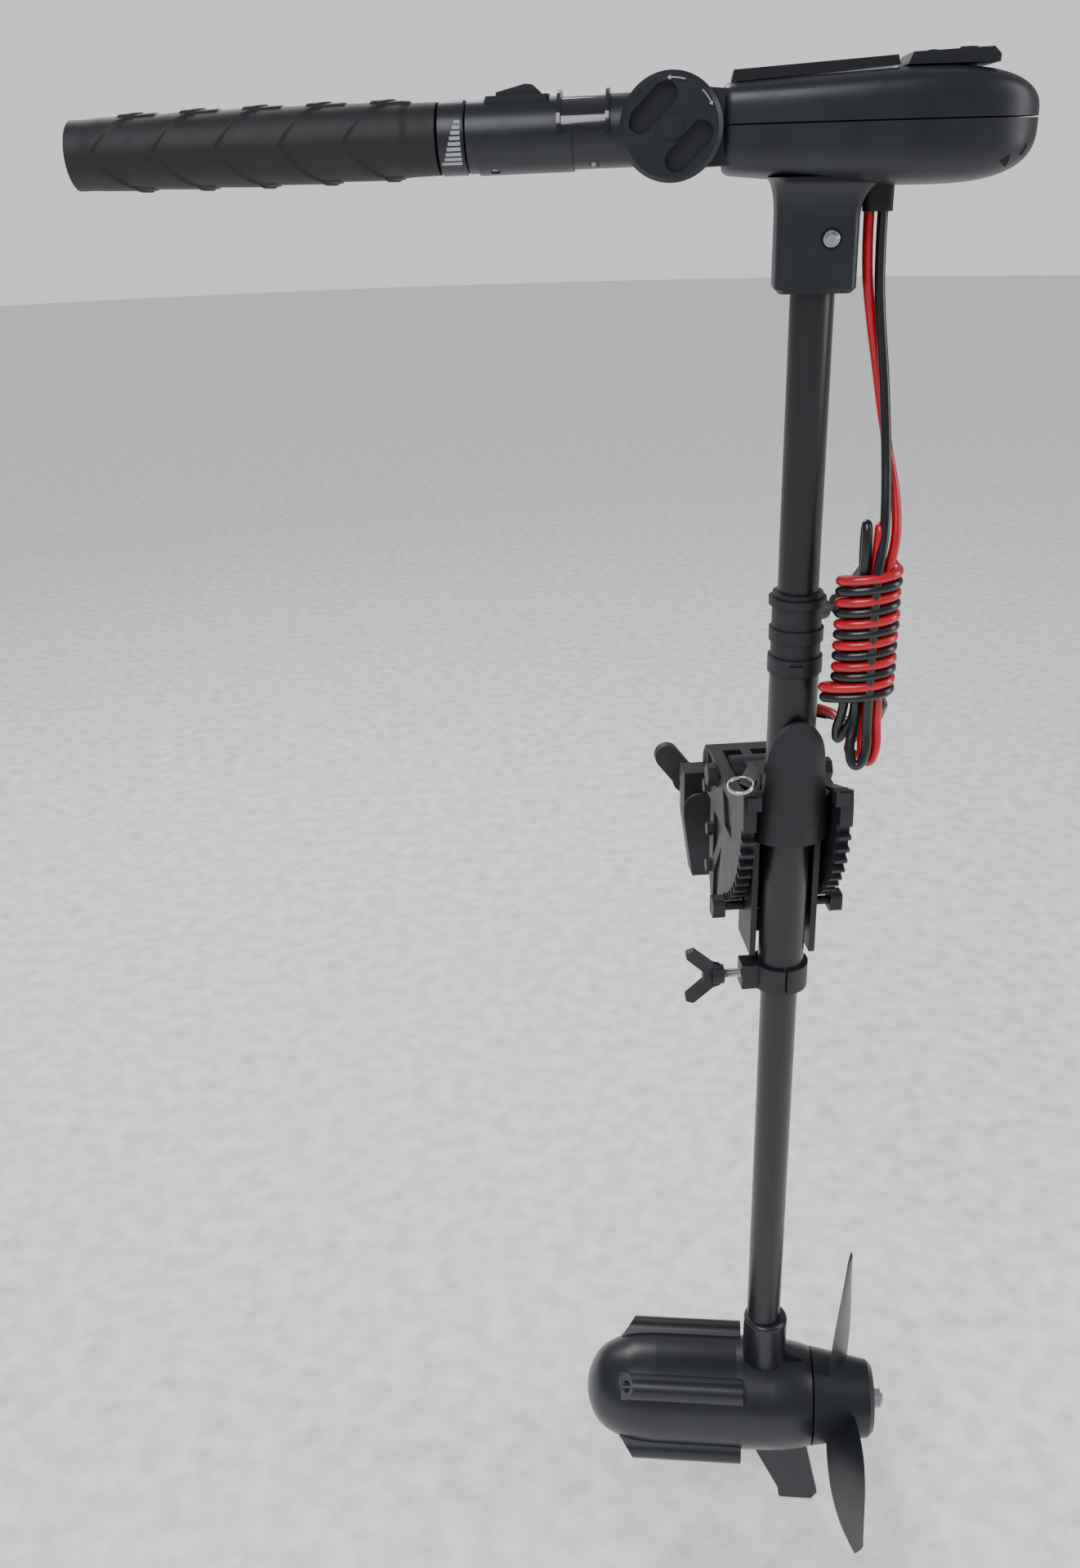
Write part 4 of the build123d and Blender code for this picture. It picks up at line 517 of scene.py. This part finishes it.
SOCKET_HALF_X = 0.025
SOCKET_HALF_Y = 0.023
SCREW_X = 0.008
SCREW_Z = 0.419
FLARE_START = 0.430
FLARE_TALL = 0.024


def socket_section(z, flare):
    """The shaft socket's outline; it flares into the head, more towards the rear."""
    return rounded_rectangle(-SOCKET_HALF_X - 0.007 * flare, SOCKET_HALF_X + 0.026 * flare,
                             -SOCKET_HALF_Y - 0.012 * flare, SOCKET_HALF_Y + 0.012 * flare,
                             0.006 + 0.006 * flare, z)


socket_rings = [rounded_rectangle(-SOCKET_HALF_X + 0.003, SOCKET_HALF_X - 0.003, -SOCKET_HALF_Y + 0.003,
                                  SOCKET_HALF_Y - 0.003, 0.004, SOCKET_LOW)]
socket_rings += [socket_section(SOCKET_LOW + 0.003, 0), socket_section(SOCKET_LOW + 0.012, 0)]
socket_rings += [socket_section(z, 0) for z in (0.408, 0.4125, 0.419, 0.4255, FLARE_START)]
for share in spread(12, 0.08, 1):
    socket_rings.append(socket_section(FLARE_START + FLARE_TALL * share, 1 - (1 - share ** 2.2) ** (1 / 2.2)))
skinned("shaft_socket", socket_rings, STEER, "shaft", "casing_plastic", smooth_angle=40)

screw_face = -SOCKET_HALF_Y - 0.0004
recess_base = STEER @ Matrix.Translation((SCREW_X, screw_face, SCREW_Z))
# A thin ring round the screw's seat in the near-black recess colour: painted shade inside the counterbore.
turned_profile("socket_screw_recess_shade", [(0.0006, 0.0066), (-0.0002, 0.0065), (-0.0006, 0.006), (0.0002, 0.0052)],
               recess_base, "shaft", "casing_plastic", recess_shade_paint, axis="y", count=48)
washer = [(0.0004, 0.0050), (-0.0010, 0.0050), (-0.0014, 0.0046), (-0.0014, 0.0036), (-0.0012, 0.0034)]
turned_profile("socket_screw_washer", washer, recess_base, "shaft", "steel", axis="y", count=48)
hex_rings = []  # a round head whose socket, where the share is 1, is a hexagon
for y, corner_share, radius in ((-0.0008, 0, 0.0034), (-0.0030, 0, 0.0034), (-0.0034, 0, 0.0030),
                                (-0.0034, 1, 0.0019), (-0.0018, 1, 0.0018)):
    ring = []
    for k in range(36):
        angle = tau * k / 36
        hexagon = cos(pi / 6) / cos((angle % (pi / 3)) - pi / 6)
        reach = radius * (1 + corner_share * (hexagon - 1))
        ring.append((reach * cos(angle), y, reach * sin(angle)))
    hex_rings.append(ring)
skinned("socket_screw_head", hex_rings, recess_base, "shaft", "steel")

# Ears that carry the tiller's knuckle.
EAR_R = 0.023
EAR_INNER = 0.0272
EAR_OUTER = 0.0338
ear_centre = STEER.inverted() @ TILLER.translation
for side, name in ((-1, "near"), (1, "far")):
    y_in, y_out = side * EAR_INNER, side * EAR_OUTER
    outline = []
    for angle in spread(25, pi / 2, 3 * pi / 2):
        outline.append((ear_centre.x + EAR_R * cos(angle), ear_centre.z + EAR_R * sin(angle)))
    outline += [(HEAD_FRONT + 0.006, ear_centre.z - 0.0215), (HEAD_FRONT + 0.006, ear_centre.z + 0.0195)]
    centre = Vector((ear_centre.x + 0.01, ear_centre.z))
    rings = []
    for y, inset in ((y_in, 0.001), (y_in + side * 0.0008, 0), (y_out - side * 0.0012, 0), (y_out, 0.0012)):
        ring = []
        for x, z in outline:
            away = Vector((x, z)) - centre
            away *= 1 - inset / away.length
            ring.append((centre.x + away.x, y, centre.y + away.y))
        rings.append(ring)
    skinned(f"head_ear_{name}", rings, STEER, "shaft", "casing_plastic", smooth_angle=30)

# Drain slots low on the rear end, each a shallow plug in the near-black recess colour: painted shade standing for
# the dark insides of the holes.
for k, (x, z, turn) in enumerate(((0.104, 0.4605, 0.2), (0.114, 0.4665, 0.28))):
    half = head_width(x) * 0.93
    slot_base = STEER @ Matrix.Translation((x, -half, z)) @ Matrix.Rotation(turn, 4, "Z")
    ring = [(0.0026 * cos(a) * (1 + 0.5 * sin(a)), 0, 0.0042 * sin(a)) for a in spread(25, 0, tau)[:-1]]
    inner = [(across * 0.7, 0.002, up * 0.7) for across, _, up in ring]
    skinned(f"drain_slot_{k}", [ring, inner], slot_base, "shaft", "casing_plastic", recess_shade_paint)

# ---- dial marks -----------------------------------------------------------------------
dial_low, dial_high = extent("tilt_dial", STEER)
dial_centre = (dial_low + dial_high) / 2
DIAL_FACE = STEER @ Matrix.Translation((dial_centre.x, dial_low.y - 0.0001, dial_centre.z))


def flat_mark(name, outline, base, body, thickness=0.00025):
    """A thin printed mark, drawn in a frame's X and Z."""
    rings = [[(x, 0, z) for x, z in outline], [(x, -thickness, z) for x, z in outline]]
    return skinned(name, rings, base, body, "casing_plastic", mark_paint)


ARC_R = 0.0256
ARC_HALF = 0.16
ARROW_LONG = 0.08


def arc_band(radius, width, start, finish, count=12):
    """The outline of a band that follows an arc."""
    outer = [((radius + width) * cos(a), (radius + width) * sin(a)) for a in spread(count, start, finish)]
    inner = [(radius * cos(a), radius * sin(a)) for a in spread(count, finish, start)]
    return outer + inner


for k, (middle, way) in enumerate(((radians(82), 1), (radians(38), -1))):
    band = arc_band(ARC_R, 0.0007, middle - ARC_HALF, middle + ARC_HALF)
    flat_mark(f"dial_arc_{k}", band, DIAL_FACE, "dial")
    back = middle + way * ARC_HALF
    tip = back + way * ARROW_LONG
    corners = ((ARC_R + 0.0003, tip), (ARC_R + 0.0016, back), (ARC_R - 0.0010, back))
    arrow = [(radius * cos(angle), radius * sin(angle)) for radius, angle in corners]
    flat_mark(f"dial_arrow_{k}", arrow[::way], DIAL_FACE, "dial")

# ---- twist grip -----------------------------------------------------------------------
grip_low, grip_high = extent("rubber_grip", TILLER)
GRIP_LONG = grip_high.x - grip_low.x
GRIP_CORE_R = 0.0206
SCALE_PITCH = 0.040
SCALE_STEP = 0.0013
FIRST_PAD = 0.030
PADS = 5
GRIP_END = 0.003


def smooth_step(value, low, high):
    """Eases from 0 at low to 1 at high."""
    share = max(0.0, min(1.0, (value - low) / (high - low)))
    return share * share * (3 - 2 * share)


def grip_radius(along, angle):
    """Overlapping chevron scales, raised pads above and below, over a slight barrel."""
    share = along / GRIP_LONG
    barrel = GRIP_CORE_R + 0.0011 * sin(pi * min(1, share * 1.15)) + 0.0002
    from_front = min(abs(angle - 1.5 * pi), abs(angle - 0.5 * pi)) / (pi / 2)
    run = along + 0.0300 * from_front ** 1.15 - 0.016
    phase = (run / SCALE_PITCH) % 1
    scale = SCALE_STEP * smooth_step(phase, 0, 0.05) * (1 - 0.82 * phase)
    scale *= smooth_step(along, 0.018, 0.024) * smooth_step(GRIP_LONG - 0.010 - along, 0, 0.012)
    pads = 0
    for middle in [FIRST_PAD + SCALE_PITCH * k for k in range(PADS)]:
        for at, half_long, half_wide, tall in ((0, 0.0125, 0.34, 0.0011), (pi, 0.006, 0.4, 0.0009)):
            off = abs((angle - at + pi) % tau - pi)
            pads = max(pads, tall * (1 - smooth_step(abs(along - middle), half_long - 0.001, half_long))
                       * (1 - smooth_step(off, half_wide - 0.05, half_wide)))
    ends = 1 - 0.2 * (1 - smooth_step(along, 0, 0.0015))
    return (barrel + scale + pads) * ends


grip_rings = []
for along in spread(300, 0.0, GRIP_LONG - GRIP_END):
    ring = []
    for angle in spread(145, 0, tau)[:-1]:
        radius = grip_radius(along, angle)
        ring.append((grip_high.x - along, radius * sin(angle), radius * cos(angle)))
    grip_rings.append(ring)
last = grip_rings[-1]
for left, shrink in ((0.93, 0.98), (0.8, 0.85), (0.5, 0.55), (0, 0.2)):
    grip_rings.append([(grip_low.x + GRIP_END * left, y * shrink, z * shrink) for _, y, z in last])
grip_cover = skinned("grip_cover", grip_rings, TILLER, "grip", "rubber", smooth_angle=50)
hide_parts("rubber_grip")

# Bars of rising length round the speed ring; the last is the longest.
ring_high = extent("grip_core", TILLER)[1]
SPEED_R = ring_high.z
BARS = 9
for k in range(BARS):
    angle = radians(-24 + 8.2 * k)
    long = 0.0035 + 0.0010 * k if k < BARS - 1 else 0.0125
    middle = ring_high.x - 0.0022 - long / 2
    outline = [(sx * long / 2, sz * 0.0010) for sx, sz in ((1, 1), (-1, 1), (-1, -1), (1, -1))]
    turn = Matrix.Rotation(angle, 4, "X")
    bar_base = TILLER @ turn @ Matrix.Translation((middle, -SPEED_R - 0.00003, 0))
    flat_mark(f"speed_bar_{k}", outline, bar_base, "grip", 0.0002)

# ---- threaded stud of the clamp ring's wing knob --------------------------------------
def thread(name, base, start, finish, radius, body, pitch=0.001):
    """A run of thread ridges on a stud that lies along a frame's X."""
    profile = []
    for k in range(int((finish - start) / pitch)):
        profile += [(start + k * pitch, radius), (start + (k + 0.5) * pitch, radius + 0.0004)]
    return turned_profile(name, profile, base, body, "steel", count=36, smooth_angle=20)


knob_at = joints["steering_knob"]["pos_m"]
ring_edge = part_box("steering_clamp_ring")[0][0]
stud_base = Matrix.Translation((0, knob_at[1], knob_at[2]))
thread("clamp_stud_thread", stud_base, ring_edge - 0.0125, ring_edge + 0.002, 0.00305, "steering_knob")

# ---- pull strap and split ring --------------------------------------------------------
STRAP_HALF = 0.00504
STRAP_THICK = 0.0013
ring_centre = (Vector(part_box("split_ring")[0]) + Vector(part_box("split_ring")[1])) / 2
RING_MEAN = 0.009
WIRE_R = 0.00085
RING_TURNS = 1.9
RING_RISE = 0.0021
ring_normal = Vector((-0.15, -0.25, 1)).normalized()
ring_out = Vector((0.9, 0.4, 0.2))
ring_out = (ring_out - ring_normal * ring_out.dot(ring_normal)).normalized()


def coil(name, centre, normal, out, radius, wire, turns, rise, body, slot, node, per_turn=28):
    """A wound wire, a helix about a line, that stands for a CAD node."""
    across = normal.cross(out)
    path = []
    for k in range(int(turns * per_turn) + 1):
        angle = tau * k / per_turn
        path.append(centre + out * radius * cos(angle) + across * radius * sin(angle)
                    + normal * rise * (k / (turns * per_turn) - 0.5))
    rings = []
    for k, here in enumerate(path):
        ahead = (path[min(k + 1, len(path) - 1)] - path[max(k - 1, 0)]).normalized()
        inward = (here - centre - normal * (here - centre).dot(normal)).normalized()
        side = ahead.cross(inward)
        rings.append([here + inward * wire * cos(a) + side * wire * sin(a) for a in spread(13, 0, tau)[:-1]])
    piece = skinned(name, rings, Matrix.Identity(4), body, slot, smooth_angle=60)
    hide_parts(node)
    return piece


coil("key_ring", ring_centre, ring_normal, ring_out, RING_MEAN, WIRE_R, RING_TURNS, RING_RISE,
     "lock", "nickel", "split_ring")

strap_line = [  # place and direction of the width, in the yoke's frame
    ((-0.019, 0.0213, -0.054), (0, 1, 0.3)),
    ((-0.019, 0.0160, -0.015), (0, 1, 0)),
    ((-0.019, 0.0138, 0.020), (0, 1, 0)),
    ((-0.0192, 0.0115, 0.050), (0, 1, 0)),
    ((-0.0225, 0.0030, 0.0605), (-0.3, 1, 0.6)),
    ((-0.0275, -0.0080, 0.0655), (-0.7, 0.6, 0.5)),
    ((-0.0315, -0.0160, 0.0655), (-0.7, 0.6, 0.4)),
    ((-0.0352, -0.0225, 0.0640), (-0.7, 0.6, 0.3)),
]


def smoothed(points, parts):
    """Catmull-Rom points through a list of vectors."""
    out = []
    for k in range(len(points) - 1):
        before, a, b, after = [points[max(0, min(k + step, len(points) - 1))] for step in (-1, 0, 1, 2)]
        for step in range(parts):
            t = step / parts
            out.append(0.5 * (2 * a + (b - before) * t + (2 * before - 5 * a + 4 * b - after) * t * t
                              + (3 * a - before - 3 * b + after) * t ** 3))
    return out + [points[-1]]


LOOP_R = 0.0024
LOOP_BACK = (0.002, 0.013)
CLOSING = 0.006
centres = smoothed([SWIVEL @ Vector(p) for p, w in strap_line], 8)
widths = smoothed([Vector(w).normalized() for p, w in strap_line], 8)
tip, heading = centres[-1], (centres[-1] - centres[-3]).normalized()
across_tip = (widths[-1] - heading * widths[-1].dot(heading)).normalized()
up_tip = heading.cross(across_tip)
for angle in spread(9, 0, pi)[1:]:
    centres.append(tip + up_tip * LOOP_R * (1 - cos(angle)) + heading * LOOP_R * sin(angle))
    widths.append(across_tip)
for back in spread(6, *LOOP_BACK):
    centres.append(tip + up_tip * (2 * LOOP_R - LOOP_R * min(1, back / CLOSING)) - heading * back)
    widths.append(across_tip)

# Half of the tape's section, as shares of its half width and half thickness, with the weave's column.
tape_edge = ((-1, -0.55, 0), (-0.5, -1, 1), (0, -1, 2), (0.5, -1, 3), (1, -0.55, 4))
tape_section = tape_edge + tuple((u, -v, column) for u, v, column in tape_edge[::-1])
rings = []
along = []
distance = 0.0
for k, here in enumerate(centres):
    ahead = (centres[min(k + 1, len(centres) - 1)] - centres[max(k - 1, 0)]).normalized()
    across = (widths[k] - ahead * widths[k].dot(ahead)).normalized()
    up = ahead.cross(across)
    distance += (here - centres[k - 1]).length if k else 0
    along.append(distance)
    half, thick = across * STRAP_HALF, up * STRAP_THICK / 2
    rings.append([here + half * u + thick * v for u, v, column in tape_section])
strap = skinned("webbing_strap", rings, Matrix.Identity(4), "lock", "webbing", smooth_angle=40)
weave = strap.data.uv_layers.new(name="weave")
for polygon in strap.data.polygons:
    for loop in polygon.loop_indices:
        k, side = divmod(strap.data.loops[loop].vertex_index, len(tape_section))
        weave.data[loop].uv = (along[k] * 10, tape_section[side][2] * STRAP_HALF * 5)
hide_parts("pull_strap")

# ---- tension springs of the lock rod --------------------------------------------------
lock_way = Vector(joints["lock"]["axis"]).normalized()
rod_middle = (Vector(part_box("lock_rod")[0]) + Vector(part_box("lock_rod")[1])) / 2
SPRING_X = 0.0276
SPRING_LONG = 0.0225
SPRING_R = 0.00155
SPRING_WIRE = 0.00035
SPRING_TURNS = 14
for x, name in ((-SPRING_X, "left"), (SPRING_X, "right")):
    start = Vector((x, rod_middle.y, rod_middle.z)) + lock_way * 0.004
    post = start + lock_way * SPRING_LONG
    spring = coil(f"lock_spring_{name}", (start + post) / 2, lock_way, Vector((1, 0, 0)), SPRING_R,
                  SPRING_WIRE, SPRING_TURNS, SPRING_LONG, "swivel", "steel", "lock_springs", per_turn=16)
    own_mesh(spring)

# ---- floor and light ------------------------------------------------------------------
FLOOR_R = 14
FLOOR_GAP = 0.003
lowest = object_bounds()[0].z
floor_mesh = bpy.data.meshes.new("floor")
bm = bmesh.new()
bmesh.ops.create_circle(bm, cap_ends=True, segments=96, radius=FLOOR_R)
bm.to_mesh(floor_mesh)
bm.free()
floor_mesh.materials.append(floor_paint)
floor = bpy.data.objects.new("floor", floor_mesh)
floor.location = (0, 0, lowest - FLOOR_GAP)
bpy.context.scene.collection.objects.link(floor)
floor_shader = floor_paint.node_tree.nodes["Principled BSDF"]
floor_shader.inputs["Emission Color"].default_value = (1, 1, 1, 1)
floor_shader.inputs["Emission Strength"].default_value = 0.3


def studio_sky():
    """A white backdrop that gives only a little light."""
    world = bpy.data.worlds.new("studio")
    world.use_nodes = True
    nodes, links = world.node_tree.nodes, world.node_tree.links
    sky = nodes["Background"]
    sky.inputs["Color"].default_value = (0.95, 0.97, 1.0, 1)
    sky.inputs["Strength"].default_value = 0.36
    backdrop = nodes.new("ShaderNodeBackground")
    backdrop.inputs["Color"].default_value = (1, 1, 1, 1)
    backdrop.inputs["Strength"].default_value = 0.9
    seen = nodes.new("ShaderNodeLightPath")
    choice = nodes.new("ShaderNodeMixShader")
    links.new(seen.outputs["Is Camera Ray"], choice.inputs["Fac"])
    links.new(sky.outputs["Background"], choice.inputs[1])
    links.new(backdrop.outputs["Background"], choice.inputs[2])
    links.new(choice.outputs["Shader"], nodes["World Output"].inputs["Surface"])
    bpy.context.scene.world = world


def softbox(name, place, aim, size, power, colour=(1, 1, 1)):
    """A large soft light that faces a point."""
    data = bpy.data.lights.new(name, "AREA")
    data.shape = "RECTANGLE"
    data.size, data.size_y = size
    data.energy = power
    data.color = colour
    lamp = bpy.data.objects.new(name, data)
    lamp.location = place
    lamp.rotation_mode = "QUATERNION"
    lamp.rotation_quaternion = (Vector(aim) - Vector(place)).to_track_quat("-Z", "Y")
    bpy.context.scene.collection.objects.link(lamp)


studio_sky()
middle = tuple(steering_line)
softbox("key_light", (-1.3, -1.9, 2.3), middle, (1.6, 1.6), 55, (0.96, 0.98, 1.0))
softbox("side_light", (2.2, -0.8, 0.9), middle, (0.8, 2.0), 22)
softbox("back_light", (-0.8, 2.0, 1.8), middle, (1.6, 1.0), 30)
